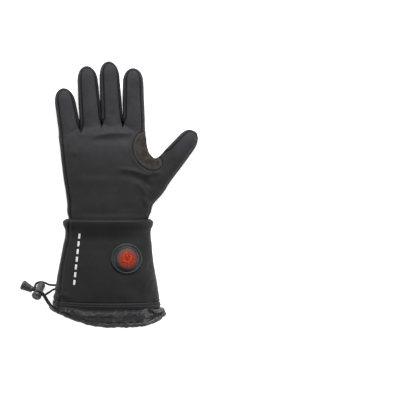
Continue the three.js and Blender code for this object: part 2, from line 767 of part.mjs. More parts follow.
// The origin is under the middle of the glove itself, at table height, whatever hangs on its cords.
const extent = new THREE.Box3();
for (const [name] of pieces) extent.expandByObject(glove.getObjectByName(name));
const middle = extent.getCenter(new THREE.Vector3());
glove.position.set(-middle.x, -middle.y, -extent.min.z);

export default glove;
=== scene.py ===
"""A left-hand heated softshell glove, lying palm down on a pale table and seen from straight above."""

import math

import bpy
import numpy as np
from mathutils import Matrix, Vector, noise
from mathutils.bvhtree import BVHTree


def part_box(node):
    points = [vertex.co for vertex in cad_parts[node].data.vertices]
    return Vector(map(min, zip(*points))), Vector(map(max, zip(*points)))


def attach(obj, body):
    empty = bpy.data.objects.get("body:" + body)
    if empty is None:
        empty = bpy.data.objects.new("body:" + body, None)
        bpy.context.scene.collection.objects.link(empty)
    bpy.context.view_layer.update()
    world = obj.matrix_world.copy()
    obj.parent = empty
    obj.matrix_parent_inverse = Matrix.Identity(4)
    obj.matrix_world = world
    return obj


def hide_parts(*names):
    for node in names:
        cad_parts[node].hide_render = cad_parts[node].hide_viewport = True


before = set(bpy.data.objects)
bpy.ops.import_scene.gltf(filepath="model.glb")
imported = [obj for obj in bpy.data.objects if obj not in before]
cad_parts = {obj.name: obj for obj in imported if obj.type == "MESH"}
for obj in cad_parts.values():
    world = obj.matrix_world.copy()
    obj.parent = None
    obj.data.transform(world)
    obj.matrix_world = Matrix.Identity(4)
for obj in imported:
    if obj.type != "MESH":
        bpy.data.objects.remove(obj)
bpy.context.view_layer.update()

# The table and the studio
# A white table, lit for a catalogue picture by a softbox beyond the fingertips and a weaker one at
# each side. A long lens looks straight down, with the glove in the left half of the picture.
MM = 0.001
PIXEL = 1.2 * MM
CAMERA_CENTRE = (0.0918, -0.0077)
CAMERA_HEIGHT = 2.315
SHARP_HEIGHT = 0.015
PICTURE_PIXELS = 400
SENSOR_WIDTH = 36.0
ROOM_LIGHT = 0.3
TABLE_HALF = 6.0

world = bpy.data.worlds.new("studio")
bpy.context.scene.world = world
world.use_nodes = True
world.node_tree.nodes["Background"].inputs["Color"].default_value = (1.0, 1.0, 1.0, 1.0)
world.node_tree.nodes["Background"].inputs["Strength"].default_value = ROOM_LIGHT
bpy.context.scene.view_settings.view_transform = "Standard"

camera_data = bpy.data.cameras.new("camera")
camera_data.sensor_width = SENSOR_WIDTH
camera_data.lens = SENSOR_WIDTH * (CAMERA_HEIGHT - SHARP_HEIGHT) / (PICTURE_PIXELS * PIXEL)
camera_data.clip_end = 20.0
camera = bpy.data.objects.new("camera", camera_data)
camera.location = (*CAMERA_CENTRE, CAMERA_HEIGHT)
bpy.context.scene.collection.objects.link(camera)
bpy.context.scene.camera = camera


def soft_light(name, place, aim, size, power):
    """A square softbox at a place, turned to face a point."""
    data = bpy.data.lights.new(name, "AREA")
    data.size = size
    data.energy = power
    light = bpy.data.objects.new(name, data)
    light.location = place
    light.rotation_euler = (Vector(aim) - Vector(place)).to_track_quat("-Z", "Y").to_euler()
    bpy.context.scene.collection.objects.link(light)


soft_light("key", (0.2, 1.25, 0.85), (0.0, 0.0, 0.0), 0.5, 28.0)
soft_light("left_fill", (-1.4, 0.1, 0.7), (0.0, 0.0, 0.0), 0.8, 7.0)
soft_light("right_fill", (1.3, -0.3, 0.75), (0.0, 0.0, 0.0), 0.6, 8.5)


def shader_nodes(name):
    """A new material with an empty node tree, its Principled shader, and a function that adds nodes."""
    material = bpy.data.materials.new(name)
    material.use_nodes = True
    tree = material.node_tree
    shader = tree.nodes["Principled BSDF"]
    return material, shader, node_adder(tree)


def node_adder(tree):
    """A function that adds a node to a tree, sets its options and joins or sets its inputs."""

    def add(kind, inputs=(), **options):
        made = tree.nodes.new(kind)
        for key, value in options.items():
            setattr(made, key, value)
        for key, value in dict(inputs).items():
            if isinstance(value, bpy.types.NodeSocket):
                tree.links.new(value, made.inputs[key])
            else:
                made.inputs[key].default_value = value
        return made

    return add


def feed(shader, **inputs):
    """Joins or sets a shader's inputs, whose names are given with underscores for spaces."""
    for key, value in inputs.items():
        socket = shader.inputs[key.replace("_", " ")]
        if isinstance(value, bpy.types.NodeSocket):
            shader.id_data.links.new(value, socket)
        else:
            socket.default_value = value


def add_mesh(name, points, faces):
    """A smooth-shaded mesh object at the origin."""
    mesh = bpy.data.meshes.new(name)
    mesh.from_pydata([tuple(map(float, p)) for p in points], [], [tuple(map(int, f)) for f in faces])
    mesh.update()
    mesh.shade_smooth()
    obj = bpy.data.objects.new(name, mesh)
    bpy.context.scene.collection.objects.link(obj)
    return obj


def table_top():
    corners = [(x * TABLE_HALF, y * TABLE_HALF, 0.0) for x, y in ((-1, -1), (1, -1), (1, 1), (-1, 1))]
    table = add_mesh("table_top", corners, [(0, 1, 2, 3)])
    material, shader, _ = shader_nodes("white_table")
    feed(shader, Base_Color=(0.93, 0.93, 0.93, 1.0), Roughness=0.9, Specular_IOR_Level=0.1,
         Emission_Color=(1.0, 1.0, 1.0, 1.0), Emission_Strength=0.7)
    table.data.materials.append(material)


table_top()

# Elastic cords
# Round braided elastic. Two strands of drawcord leave the skirt's hem, pass through the cord lock
# and end in the bell. A thinner tether holds the lock to the cuff's side seam. Their routes are in
# millimetres from the middle of the wrist seam.
CUFF_LENGTH = 102.5
CUFF_WIDTH = 129.0
CUFF_TOP = -0.018
CUFF_LEFT = -0.518
DRAWCORD = 2.1
TETHER = 2.6
STRAND_GAP = 0.3
STRAND_SPACING = DRAWCORD + STRAND_GAP
CORD_STEPS = 90
CORD_SIDES = 12
RIBS_ROUND = 8.0
RIBS_A_MILLIMETRE = 1.35
# The braid's grooves are painted darker than its ribs, as painted shade.
ELASTIC_GROOVE_PAINTED_SHADE = (0.003, 0.003, 0.0035, 1.0)
ELASTIC_RIBS = (0.016, 0.016, 0.017, 1.0)
DRAWCORD_ROUTE = [
    (-68.9, -102.4, 17.6),
    (-72.0, -98.8, 16.2),
    (-75.4, -94.0, 14.1),
    (-79.4, -88.0, 12.2),
    (-84.7, -84.0, 11.35),
    (-89.2, -82.7, 10.0),
    (-92.5, -82.1, 8.0),
    (-96.6, -80.5, 6.7),
]
TETHER_ROUTE = [
    (-60.1, -76.6, 14.6),
    (-66.4, -76.6, 11.6),
    (-72.5, -76.4, 7.4),
    (-77.2, -74.6, 4.2),
    (-81.5, -73.3, 2.6),
    (-86.0, -73.6, 2.0),
    (-89.4, -75.8, 1.8),
    (-90.4, -79.2, 1.7),
    (-89.0, -83.6, 1.6),
    (-85.0, -87.8, 1.6),
    (-79.6, -89.0, 2.8),
    (-73.6, -86.0, 6.6),
    (-67.2, -81.9, 11.4),
    (-60.3, -80.4, 14.3),
]
LOCK_DIRECTION = (-6.0, -14.4, 13.1)
LOCK_FOOT = (-81.8, -76.2, 4.3)

# CUFF_TOP and CUFF_LEFT are where the cuff's box starts from the middle of the wrist seam, as shares
# of the cuff's length and width.
cuff_low, cuff_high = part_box("gauntlet_cuff")
wrist_seam = np.array(
    [cuff_low.x - CUFF_LEFT * CUFF_WIDTH * MM, cuff_high.y + CUFF_TOP * CUFF_LENGTH * MM, 0.0]
)
lock_axis = np.array(Vector(LOCK_DIRECTION).normalized())


def in_frame(points):
    """Millimetres from the middle of the wrist seam, in the frame's metres."""
    return np.asarray(points, float) * MM + wrist_seam


def through(stops, values, at):
    """Values on a smooth curve through a table's stops."""
    stops, values, at = (np.asarray(v, float) for v in (stops, values, at))
    slopes = np.gradient(values, stops)
    i = np.clip(np.searchsorted(stops, at) - 1, 0, len(stops) - 2)
    width = stops[i + 1] - stops[i]
    t = np.clip((at - stops[i]) / width, 0.0, 1.0)
    start = values[i] * (1 + 2 * t) * (1 - t) ** 2 + slopes[i] * width * t * (1 - t) ** 2
    end = values[i + 1] * t**2 * (3 - 2 * t) - slopes[i + 1] * width * t**2 * (1 - t)
    return start + end


def spline(points, count):
    """Evenly spaced points on a smooth curve through the given ones."""
    points = np.asarray(points, float)
    chords = np.linalg.norm(np.diff(points, axis=0), axis=1)
    stops = np.concatenate([[0.0], np.cumsum(chords)])
    fine = np.linspace(0.0, stops[-1], 40 * len(points))
    curve = np.stack([through(stops, points[:, k], fine) for k in range(points.shape[1])], 1)
    run = np.concatenate([[0.0], np.cumsum(np.linalg.norm(np.diff(curve, axis=0), axis=1))])
    even = np.linspace(0.0, run[-1], count)
    return np.stack([np.interp(even, run, curve[:, k]) for k in range(points.shape[1])], 1)


def grid_faces(rows, columns, closed_rows=False):
    """Quads of a grid whose columns close round, and whose rows may close too."""
    r = np.arange(rows if closed_rows else rows - 1)[:, None]
    c = np.arange(columns)[None, :]
    below = (r + 1) % rows
    right = (c + 1) % columns
    quads = [r * columns + c, r * columns + right, below * columns + right, below * columns + c]
    return np.stack(quads, -1).reshape(-1, 4)


def tube_mesh(name, path, radius, sides=CORD_SIDES):
    """A closed round tube along a path in metres, with a UV map that runs round and along it."""
    path = np.asarray(path, float)
    ahead = np.gradient(path, axis=0)
    ahead /= np.linalg.norm(ahead, axis=1)[:, None]
    side = np.cross(ahead[0], (0.0, 0.0, 1.0))
    rings = []
    for place, direction in zip(path, ahead):
        side = side - direction * side.dot(direction)
        side /= np.linalg.norm(side)
        up = np.cross(side, direction)
        turns = np.linspace(0.0, 2 * math.pi, sides, endpoint=False)
        rings.append(place + radius * (np.cos(turns)[:, None] * side + np.sin(turns)[:, None] * up))
    rows = len(rings)
    faces = [tuple(f) for f in grid_faces(rows, sides)]
    faces.append(tuple(range(sides - 1, -1, -1)))
    faces.append(tuple(range((rows - 1) * sides, rows * sides)))
    obj = add_mesh(name, np.concatenate(rings), faces)
    run = np.concatenate([[0.0], np.cumsum(np.linalg.norm(np.diff(path, axis=0), axis=1))])
    uv = obj.data.uv_layers.new(name="UVMap")
    for polygon in obj.data.polygons:
        wraps = any(obj.data.loops[i].vertex_index % sides == 0 for i in polygon.loop_indices)
        for i in polygon.loop_indices:
            row, column = divmod(obj.data.loops[i].vertex_index, sides)
            seamed = wraps and column == 0 and polygon.index % sides == sides - 1
            uv.data[i].uv = ((column / sides) + (1.0 if seamed else 0.0), run[row] / MM)
    return outward(obj)


def outward(obj):
    """Turns a closed mesh's faces out if its volume comes out negative."""
    mesh = obj.data
    mesh.calc_loop_triangles()
    co = np.array([v.co for v in mesh.vertices])
    tris = np.array([t.vertices for t in mesh.loop_triangles])
    a, b, c = co[tris[:, 0]], co[tris[:, 1]], co[tris[:, 2]]
    if np.einsum("ij,ij->i", a, np.cross(b, c)).sum() < 0:
        mesh.flip_normals()
    return obj


def maths(add, operation, *values):
    """The result of one Math node on values and sockets."""
    return add("ShaderNodeMath", dict(enumerate(values)), operation=operation).outputs[0]


def blended(add, factor, low, high):
    """A colour between two, each a colour or a socket."""
    return add("ShaderNodeMix", {"Factor": factor, "A": low, "B": high}, data_type="RGBA").outputs["Result"]


def bumped(add, height, strength, distance, **normal):
    """The normal of fine relief of a depth in millimetres, laid over another normal where one is given."""
    relief = {"Height": height, "Strength": strength, "Distance": distance * MM, **normal}
    return add("ShaderNodeBump", relief).outputs["Normal"]


def braided_elastic():
    """Black elastic sleeve, plaited over rubber: two sets of ribs that cross at a slant."""
    material, shader, add = shader_nodes("braided_elastic")
    place = add("ShaderNodeUVMap").outputs["UV"]
    split = add("ShaderNodeSeparateXYZ", {"Vector": place}).outputs
    ribs = []
    for slant in (RIBS_ROUND, -RIBS_ROUND):
        around = maths(add, "MULTIPLY", split["X"], slant)
        phase = maths(add, "MULTIPLY_ADD", split["Y"], RIBS_A_MILLIMETRE, around)
        turn = maths(add, "MULTIPLY", phase, 2 * math.pi)
        ribs.append(maths(add, "SINE", turn))
    over = maths(add, "MAXIMUM", *ribs)
    height = add("ShaderNodeMapRange", {"Value": over, "From Min": -1.0, "From Max": 1.0}).outputs[0]
    # Painted shade: the colour is darker between the ribs, in the braid's grooves.
    feed(shader, Base_Color=blended(add, height, ELASTIC_GROOVE_PAINTED_SHADE, ELASTIC_RIBS),
         Normal=bumped(add, height, 0.8, 0.25), Roughness=0.62, Specular_IOR_Level=0.3)
    return material


cord_material = braided_elastic()


def cord_path(route, shift):
    """A route in the frame's metres, moved square to itself by a share of the strands' spacing."""
    route = np.array(route)
    heading = np.array([route[min(i + 1, len(route) - 1)] - route[max(i - 1, 0)] for i in range(len(route))])
    heading /= np.linalg.norm(heading, axis=1)[:, None]
    apart = lock_axis - heading * (heading @ lock_axis)[:, None]
    apart /= np.linalg.norm(apart, axis=1)[:, None]
    return in_frame(spline(route + apart * shift * STRAND_SPACING / 2, CORD_STEPS))


for piece_name, node_name, route, shift, diameter in (
    ("drawcord_strand_upper", "drawcord_upper", DRAWCORD_ROUTE, 1.0, DRAWCORD),
    ("drawcord_strand_lower", "drawcord_lower", DRAWCORD_ROUTE, -1.0, DRAWCORD),
    ("tether_loop", "lock_tether", TETHER_ROUTE, 0.0, TETHER),
):
    path = cord_path(route, shift)
    strand = tube_mesh(piece_name, path, diameter / 2 * MM)
    strand.data.materials.append(cord_material)
    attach(strand, "glove")
    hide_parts(node_name)

# Softshell hand
# Brushed softshell, cut as a back panel and a palm panel with the finger sides, sewn wrong side
# out and turned. Its section tables hold shares of the hand's named sizes, a row for each section.
PALM_WIDTH = 104.0
HAND_LENGTH = 192.0
HAND_THICKNESS = 32.0
CUFF_THICKNESS = 52.0
FINGER_WIDTH = 25.0
FINGER_THICKNESS = 20.0
FINGERTIP = 18.0
THUMB_WIDTH = 27.0
THUMB_THICKNESS = 24.0
THUMB_TIP = 19.0
SHELL_WALL = 2.0
PRESSED_FLAT = 0.8
WRIST_OVERLAP = 8.0
WRIST_CAP = 1.8
WRIST_TRIM = 2.6
WRIST_DIP = 3.2
HAND_SEAT = 3.95
VOXEL = 1.2
PALM_SIDES = 110
DIGIT_SIDES = 48
PALM_SQUARENESS = 2.5
DIGIT_SQUARENESS = 2.3
# The cuff's top edge, where the wrist goes in: left, right and thickness, as shares of the cuff's.
WRIST_FORM = (-0.412, 0.39, 0.78)

DIGIT_COLUMNS = ("base_x", "base_y", "tip_x", "tip_y", "width", "left_seam", "right_seam", "left_crotch",
                 "right_crotch")
FINGER_ROWS = [
    (-0.43, 0.47, -0.541, 0.832, 0.99, 0.17, 0.08, 0.0, 0.558),
    (-0.196, 0.47, -0.268, 0.971, 0.99, 0.17, 0.07, 0.558, 0.6),
    (0.045, 0.47, -0.012, 1.0, 0.97, 0.18, 0.07, 0.6, 0.6),
    (0.287, 0.47, 0.27, 0.957, 1.0, 0.15, 0.14, 0.6, 0.0),
]
THUMB_ROW = (0.36, 0.15, 0.99, 0.562, 1.0, 0.15, 0.04, 0.372, 0.0)
FINGERS = [dict(zip(DIGIT_COLUMNS, row)) for row in FINGER_ROWS]
THUMB = dict(zip(DIGIT_COLUMNS, THUMB_ROW))
FORM_COLUMNS = ("along", "width", "thickness")
FINGER_FORM = [(0.0, 0.7, 0.8), (0.1, 0.9, 0.92), (0.24, 1.03, 1.0), (0.55, 1.02, 1.02), (1.0, 0.96, 0.94)]
THUMB_FORM = [(0.0, 1.2, 1.15), (0.25, 1.26, 1.12), (0.5, 1.06, 1.05), (0.75, 0.98, 1.0), (1.0, 0.88, 0.92)]
PALM_COLUMNS = ("along", "left", "right", "thickness", "slant")
PALM_FORM = [
    (0.05, -0.482, 0.474, 1.0, 0.0),
    (0.11, -0.482, 0.5, 1.0, 0.0),
    (0.18, -0.498, 0.53, 1.0, 0.0),
    (0.26, -0.52, 0.53, 1.0, 0.0),
    (0.33, -0.538, 0.55, 0.98, 0.0),
    (0.395, -0.553, 0.488, 0.94, 0.0),
    (0.46, -0.566, 0.434, 0.87, 0.0),
    (0.52, -0.58, 0.421, 0.79, 0.01),
    (0.57, -0.585, 0.415, 0.7, 0.03),
    (0.596, -0.575, 0.408, 0.62, 0.045),
]
# Soft folds on the back of the hand: ends as shares of PALM_WIDTH and HAND_LENGTH, and the
# width and height in millimetres, a height below nothing for a valley.
FOLDS = [
    (-0.2, 0.528, 0.07, 0.551, 2.8, 1.3),
    (-0.06, 0.548, 0.3, 0.549, 2.6, 1.7),
    (-0.26, 0.5, 0.08, 0.509, 4.2, -1.2),
    (-0.1, 0.508, 0.3, 0.512, 4.2, -1.3),
    (-0.36, 0.53, -0.2, 0.55, 3.6, 0.7),
    (0.1, 0.327, 0.36, 0.311, 2.5, 1.1),
    (0.26, 0.32, 0.5, 0.278, 2.5, 1.4),
    (0.4, 0.287, 0.62, 0.304, 2.4, 1.3),
    (0.06, 0.296, 0.34, 0.274, 3.8, -0.8),
    (0.22, 0.286, 0.48, 0.232, 3.8, -1.5),
    (0.38, 0.252, 0.52, 0.205, 3.6, -1.3),
    (0.3, 0.252, 0.42, 0.2, 3.6, 1.0),
    (0.39, 0.225, 0.43, 0.15, 3.2, 1.6),
    (0.4, 0.16, 0.45, 0.085, 3.0, 1.5),
    (0.3, 0.2, 0.38, 0.1, 4.4, -0.5),
    (0.1, 0.09, 0.34, 0.08, 4.6, -0.5),
    (-0.42, 0.288, 0.14, 0.285, 4.0, -0.4),
    (-0.4, 0.268, 0.1, 0.262, 6.0, 0.5),
    (-0.4, 0.11, 0.3, 0.1, 8.0, 0.5),
    (-0.44, 0.43, -0.36, 0.42, 3.6, 0.8),
    (-0.46, 0.4, -0.3, 0.385, 6.0, -0.6),
    (0.1, 0.47, 0.26, 0.43, 6.0, 0.7),
    (-0.23, 0.63, -0.13, 0.625, 4.5, -0.4),
    (0.0, 0.66, 0.08, 0.655, 4.5, -0.4),
    (0.66, 0.32, 0.78, 0.4, 5.0, -0.8),
    (0.52, 0.24, 0.66, 0.3, 6.0, 0.7),
    (0.42, 0.392, 0.6, 0.378, 5.0, 2.0),
    (0.58, 0.22, 1.02, 0.53, 7.0, 1.1),
]
FOLD_STRENGTH = 1.2
# Grooves and shoulders beside a seam: height, distance from the seam and width, in millimetres.
PANEL_GROOVE = (-1.2, 0.0, 1.1)
PANEL_SHOULDER = (0.35, 2.2, 1.3)
PATCH_GROOVE = (-0.75, 0.0, 1.1)
PATCH_SHOULDER = (0.85, 2.8, 1.7)
PATCH_ROLL = (0.3, -2.2, 1.3)
# Waves of the loose cloth: height and size in millimetres, and a seed.
HAND_FULLNESS = 0.5
BROAD_WAVES = (0.4, 26.0, 1.0)
FINE_WAVES = (0.16, 9.0, 2.0)
SEAM_PUCKERS = (0.5, 5.0, 3.0)
SUEDE_LUMPS = (0.5, 7.0, 5.0)
# Where the tubes of the hand meet in a crease that is smoothed, as shares of PALM_WIDTH and HAND_LENGTH.
JOINS = [(-0.32, 0.55), (-0.1, 0.58), (0.16, 0.585), (0.52, 0.385), (0.41, 0.6), (-0.56, 0.56), (0.64, 0.42)]
JOIN_REACH = 11.0
CLOTH_CLEARANCE = 0.15
NO_SEAM = 9.0
SNAP_REACH = 1.5


def columns(table, names):
    """A table's columns by name, as arrays."""
    return dict(zip(names, np.array(table, float).T))


def superellipse(angles, half_width, low, high, floor, squareness):
    """A soft section across and up, pressed flat where it would go below its floor."""
    across = half_width * np.sign(np.cos(angles)) * np.abs(np.cos(angles)) ** (2 / squareness)
    share = 0.5 + 0.5 * np.sign(np.sin(angles)) * np.abs(np.sin(angles)) ** (2 / squareness)
    return across, np.maximum(floor, low + (high - low) * share)


def rounded_section(half_width, low, high, floor, squareness, sides):
    """The same section, with its points evenly spaced."""
    fine = np.linspace(0.0, 2 * math.pi, 720, endpoint=False)
    across, up = superellipse(fine, half_width, low, high, floor, squareness)
    closed = np.stack([np.append(across, across[0]), np.append(up, up[0])], 1)
    run = np.concatenate([[0.0], np.cumsum(np.linalg.norm(np.diff(closed, axis=0), axis=1))])
    even = np.linspace(0.0, run[-1], sides, endpoint=False)
    return np.stack([np.interp(even, run, closed[:, 0]), np.interp(even, run, closed[:, 1])], 1)


def capped(rings, first_middle, last_middle):
    """Points and faces of a closed surface through rings, with a fan at each end."""
    rows, sides = len(rings), len(rings[0])
    points = np.concatenate([*rings, [first_middle], [last_middle]])
    faces = [tuple(f) for f in grid_faces(rows, sides)]
    first, last = rows * sides, rows * sides + 1
    faces += [(first, (i + 1) % sides, i) for i in range(sides)]
    top = (rows - 1) * sides
    faces += [(last, top + i, top + (i + 1) % sides) for i in range(sides)]
    return points, faces


def closed_loft(rings):
    return capped(rings, rings[0].mean(0), rings[-1].mean(0))


def digit_line(digit, tip_length):
    """A digit's start, direction and straight length in plan."""
    base = np.array([digit["base_x"] * PALM_WIDTH, digit["base_y"] * HAND_LENGTH])
    tip = np.array([digit["tip_x"] * PALM_WIDTH, digit["tip_y"] * HAND_LENGTH])
    reach = np.linalg.norm(tip - base)
    return base, (tip - base) / reach, reach - tip_length


def digit_loft(digit, form, width, thickness, tip_length):
    """The tube of one digit, with a rounded tip."""
    base, axis, straight = digit_line(digit, tip_length)
    form = columns(form, FORM_COLUMNS)
    along = np.linspace(0.0, 1.0, 26)
    widths = through(form["along"], form["width"], along) * width / 2
    halves = through(form["along"], form["thickness"], along) * thickness / 2
    middle = thickness * form["thickness"][-1] / 2
    rows = []
    for share, half_width, half in zip(along, widths, halves):
        low = min(middle - half, 0.0) - PRESSED_FLAT
        rows.append((share * straight, half_width, low, max(middle, half) + half))
    _, last_width, last_low, last_high = rows[-1]
    for angle in np.linspace(0.0, math.pi / 2 * 0.985, 12)[1:]:
        shrink = math.cos(angle)
        centre = (last_low + last_high) / 2
        low, high = (centre + (edge - centre) * shrink for edge in (last_low, last_high))
        rows.append((straight + tip_length * math.sin(angle), last_width * shrink, low, high))
    rings = []
    for distance, half_width, low, high in rows:
        section = rounded_section(half_width, low, high, 0.0, DIGIT_SQUARENESS, DIGIT_SIDES)
        place = base + axis * distance
        x = place[0] + axis[1] * section[:, 0]
        y = place[1] - axis[0] * section[:, 0]
        rings.append(np.stack([x, y, section[:, 1]], 1))
    return closed_loft(rings)


def palm_loft():
    """The palm from inside the cuff to the finger roots."""
    form = columns(PALM_FORM, PALM_COLUMNS)
    along = np.linspace(form["along"][0], form["along"][-1], 60)
    rows = []
    wrist_left, wrist_right, wrist_thickness = WRIST_FORM
    for y in (-WRIST_OVERLAP + WRIST_CAP, 0.0):
        left, right = wrist_left * CUFF_WIDTH + HAND_SEAT, wrist_right * CUFF_WIDTH - HAND_SEAT
        rows.append((y, left, right, wrist_thickness * CUFF_THICKNESS - HAND_SEAT, 0.0, HAND_SEAT))
    for share in along:
        left, right, thickness, slant = (
            float(through(form["along"], form[key], share)) for key in ("left", "right", "thickness", "slant")
        )
        high = thickness * HAND_THICKNESS
        edges = (left * PALM_WIDTH, right * PALM_WIDTH)
        rows.append((share * HAND_LENGTH, *edges, high, slant * HAND_LENGTH, 0.0))
    rings = []
    for y, left, right, high, slant, floor in rows:
        section = rounded_section((right - left) / 2, -PRESSED_FLAT, high, floor, PALM_SQUARENESS, PALM_SIDES)
        back = np.maximum(0.0, -section[:, 0] / ((right - left) / 2)) ** 1.5
        x = (left + right) / 2 + section[:, 0]
        rings.append(np.stack([x, y - slant * back, section[:, 1]], 1))
    return closed_loft(rings)


def joined(lofts):
    """Several lofts as one list of points and one of faces."""
    points, faces, start = [], [], 0
    for loft_points, loft_faces in lofts:
        points.append(loft_points)
        faces += [tuple(i + start for i in f) for f in loft_faces]
        start += len(loft_points)
    return np.concatenate(points), faces


def applied(obj, **modifiers):
    """The object with modifiers added in order and applied to its mesh."""
    for kind, settings in modifiers.items():
        modifier = obj.modifiers.new(kind, kind.rstrip("_0123456789"))
        for key, value in settings.items():
            setattr(modifier, key, value)
    depsgraph = bpy.context.evaluated_depsgraph_get()
    mesh = bpy.data.meshes.new_from_object(obj.evaluated_get(depsgraph))
    obj.modifiers.clear()
    old = obj.data
    obj.data = mesh
    bpy.data.meshes.remove(old)
    return obj


def vertex_arrays(obj):
    """A mesh's places in millimetres from the wrist seam, and its normals."""
    count = len(obj.data.vertices)
    places = np.empty(count * 3)
    obj.data.vertices.foreach_get("co", places)
    normals = np.empty(count * 3)
    obj.data.vertices.foreach_get("normal", normals)
    return (places.reshape(-1, 3) - wrist_seam) / MM, normals.reshape(-1, 3)


def set_places(obj, places):
    obj.data.vertices.foreach_set("co", in_frame(places).ravel())
    obj.data.update()


def set_attribute(obj, name, values):
    """Writes one value for each vertex."""
    attribute = obj.data.attributes.new(name, "FLOAT", "POINT")
    attribute.data.foreach_set("value", values.astype(np.float32))


def segment_distance(points, start, end):
    """Distance of points in plan from a segment, and where along it they lie."""
    start, end = np.asarray(start, float), np.asarray(end, float)
    along = np.clip((points - start) @ (end - start) / ((end - start) @ (end - start)), 0.0, 1.0)
    return np.linalg.norm(points - start - along[:, None] * (end - start), axis=1), along


def outline_distance(points, outline):
    """Signed distance in plan from a closed outline, below nothing inside it."""
    nearest = np.full(len(points), np.inf)
    inside = np.zeros(len(points), bool)
    for start, end in zip(outline, np.roll(outline, -1, axis=0)):
        nearest = np.minimum(nearest, segment_distance(points, start, end)[0])
        spans = (start[1] > points[:, 1]) != (end[1] > points[:, 1])
        rise = end[1] - start[1]
        crossing = start[0] + (points[:, 1] - start[1]) / (rise if rise else 1.0) * (end[0] - start[0])
        inside ^= spans & (points[:, 0] < crossing)
    return np.where(inside, -nearest, nearest)


TIP_SEAM = 2.3
CROTCH_DRAW = 0.045
CROTCH_OVERLAP = -0.6


def digit_seam(digit, form, width, tip_length):
    """The back panel's outline on a digit: its seams run out of the crotches and meet round its tip."""
    base, axis, straight = digit_line(digit, tip_length)
    form = columns(form, FORM_COLUMNS)
    along = np.linspace(0.0, 1.0, 33)
    halves = through(form["along"], form["width"], along) * width * digit["width"] / 2
    height = (base[1] + axis[1] * along * straight) / HAND_LENGTH
    sides = []
    for turn, side in ((-1, "left"), (1, "right")):
        open_share = np.clip((height - digit[side + "_crotch"]) / CROTCH_DRAW, CROTCH_OVERLAP, 1.0)
        across = halves - digit[side + "_seam"] * width * open_share
        line = [base + axis * s * straight + turn * h * np.array([axis[1], -axis[0]])
                for s, h in zip(along, across)]
        for angle in np.linspace(0.0, math.pi / 2, 9)[1:]:
            reach = straight + (tip_length - TIP_SEAM) * math.sin(angle)
            shrink = math.cos(angle) ** 0.8
            line.append(base + axis * reach + turn * across[-1] * shrink * np.array([axis[1], -axis[0]]))
        sides.append(line)
    return np.array(sides[0] + sides[1][::-1])


PALM_SEAM_TOP = 0.55
PALM_SEAM_FOOT = -0.06
PALM_SEAM_INSET = 0.05


def palm_seam():
    """The back panel's outline on the palm: the little finger's seam runs on down to the wrist."""
    form = columns(PALM_FORM, PALM_COLUMNS)
    along = np.linspace(PALM_SEAM_FOOT, PALM_SEAM_TOP, 24)
    reach = np.clip(along, form["along"][0], None)
    left = through(form["along"], form["left"], reach) * PALM_WIDTH + FINGERS[0]["left_seam"] * FINGER_WIDTH
    right = through(form["along"], form["right"], reach) * PALM_WIDTH - PALM_SEAM_INSET * FINGER_WIDTH
    y = along * HAND_LENGTH
    return np.concatenate([np.stack([left, y], 1), np.stack([right, y], 1)[::-1]])


def wavy(points, size, seed):
    """Smooth noise at points, about -1 to 1, with lumps of a given size in millimetres."""
    shift = Vector((seed * 7.3, seed * 3.1, seed * 5.7))
    return np.array([noise.noise(Vector(p) / size + shift) for p in points])


# The fingers almost touch, so they are spread while the hand is remeshed and closed again after
# it. Each row is a finger's spread in millimetres, with the share along where its gap starts.
FINGER_SPREAD = [(-7.5, 0.525), (-2.5, 0.535), (2.5, 0.55), (7.5, 0.55)]


def finger_middle(finger, y):
    """Where a finger's middle line lies across, at a distance along the hand."""
    share = (y / HAND_LENGTH - finger["base_y"]) / (finger["tip_y"] - finger["base_y"])
    return (finger["base_x"] + (finger["tip_x"] - finger["base_x"]) * np.clip(share, 0.0, 1.2)) * PALM_WIDTH


def opened(y, start):
    """How much of its spread a finger has at a distance along the hand."""
    t = np.clip((y / HAND_LENGTH - start) / 0.07, 0.0, 1.0)
    return t * t * (3 - 2 * t)


def spread_fingers(points, number):
    """A finger's points, moved out by its spread."""
    points = points.copy()
    amount, start = FINGER_SPREAD[number]
    points[:, 0] += amount * opened(points[:, 1], start)
    return points


def closed_again(places):
    """Brings the spread fingers back, blending between neighbours over the gaps."""
    y = places[:, 1]
    shifts = [amount * opened(y, start) for amount, start in FINGER_SPREAD]
    middles = [finger_middle(finger, y) + shift for finger, shift in zip(FINGERS, shifts)]
    shift = shifts[0].copy()
    for left, right in zip(range(3), range(1, 4)):
        half = (middles[right] - middles[left]) / 2
        centre = (middles[right] + middles[left]) / 2
        t = np.clip((places[:, 0] - centre) / (0.14 * half) * 0.5 + 0.5, 0.0, 1.0)
        shift = np.where(places[:, 0] > centre - half, shifts[left] + (shifts[right] - shifts[left]) * t, shift)
    moved = places.copy()
    moved[:, 0] -= shift
    return moved


def soft_hand():
    """The hand's outside as one smooth closed mesh, before its folds and seams."""
    lofts = [palm_loft()]
    for number, finger in enumerate(FINGERS):
        width = FINGER_WIDTH * finger["width"]
        points, faces = digit_loft(finger, FINGER_FORM, width, FINGER_THICKNESS, FINGERTIP)
        lofts.append((spread_fingers(points, number), faces))
    lofts.append(digit_loft(THUMB, THUMB_FORM, THUMB_WIDTH, THUMB_THICKNESS, THUMB_TIP))
    points, faces = joined(lofts)
    hand = add_mesh("softshell_hand", in_frame(points), faces)
    applied(hand, REMESH={"mode": "VOXEL", "voxel_size": VOXEL * MM, "use_smooth_shade": True})
    places, _ = vertex_arrays(hand)
    near = np.min([np.hypot(places[:, 0] - x * PALM_WIDTH, places[:, 1] - y * HAND_LENGTH)
                   for x, y in JOINS], axis=0)
    group = hand.vertex_groups.new(name="joins")
    for i, weight in enumerate(np.clip(1.3 - near / JOIN_REACH, 0.0, 1.0)):
        if weight > 0.0:
            group.add([i], float(weight), "REPLACE")
    applied(
        hand,
        SMOOTH={"factor": 0.5, "iterations": 8},
        SMOOTH_1={"factor": 0.5, "iterations": 30, "vertex_group": "joins"},
    )
    hand.vertex_groups.clear()
    places, _ = vertex_arrays(hand)
    set_places(hand, closed_again(places))
    return hand


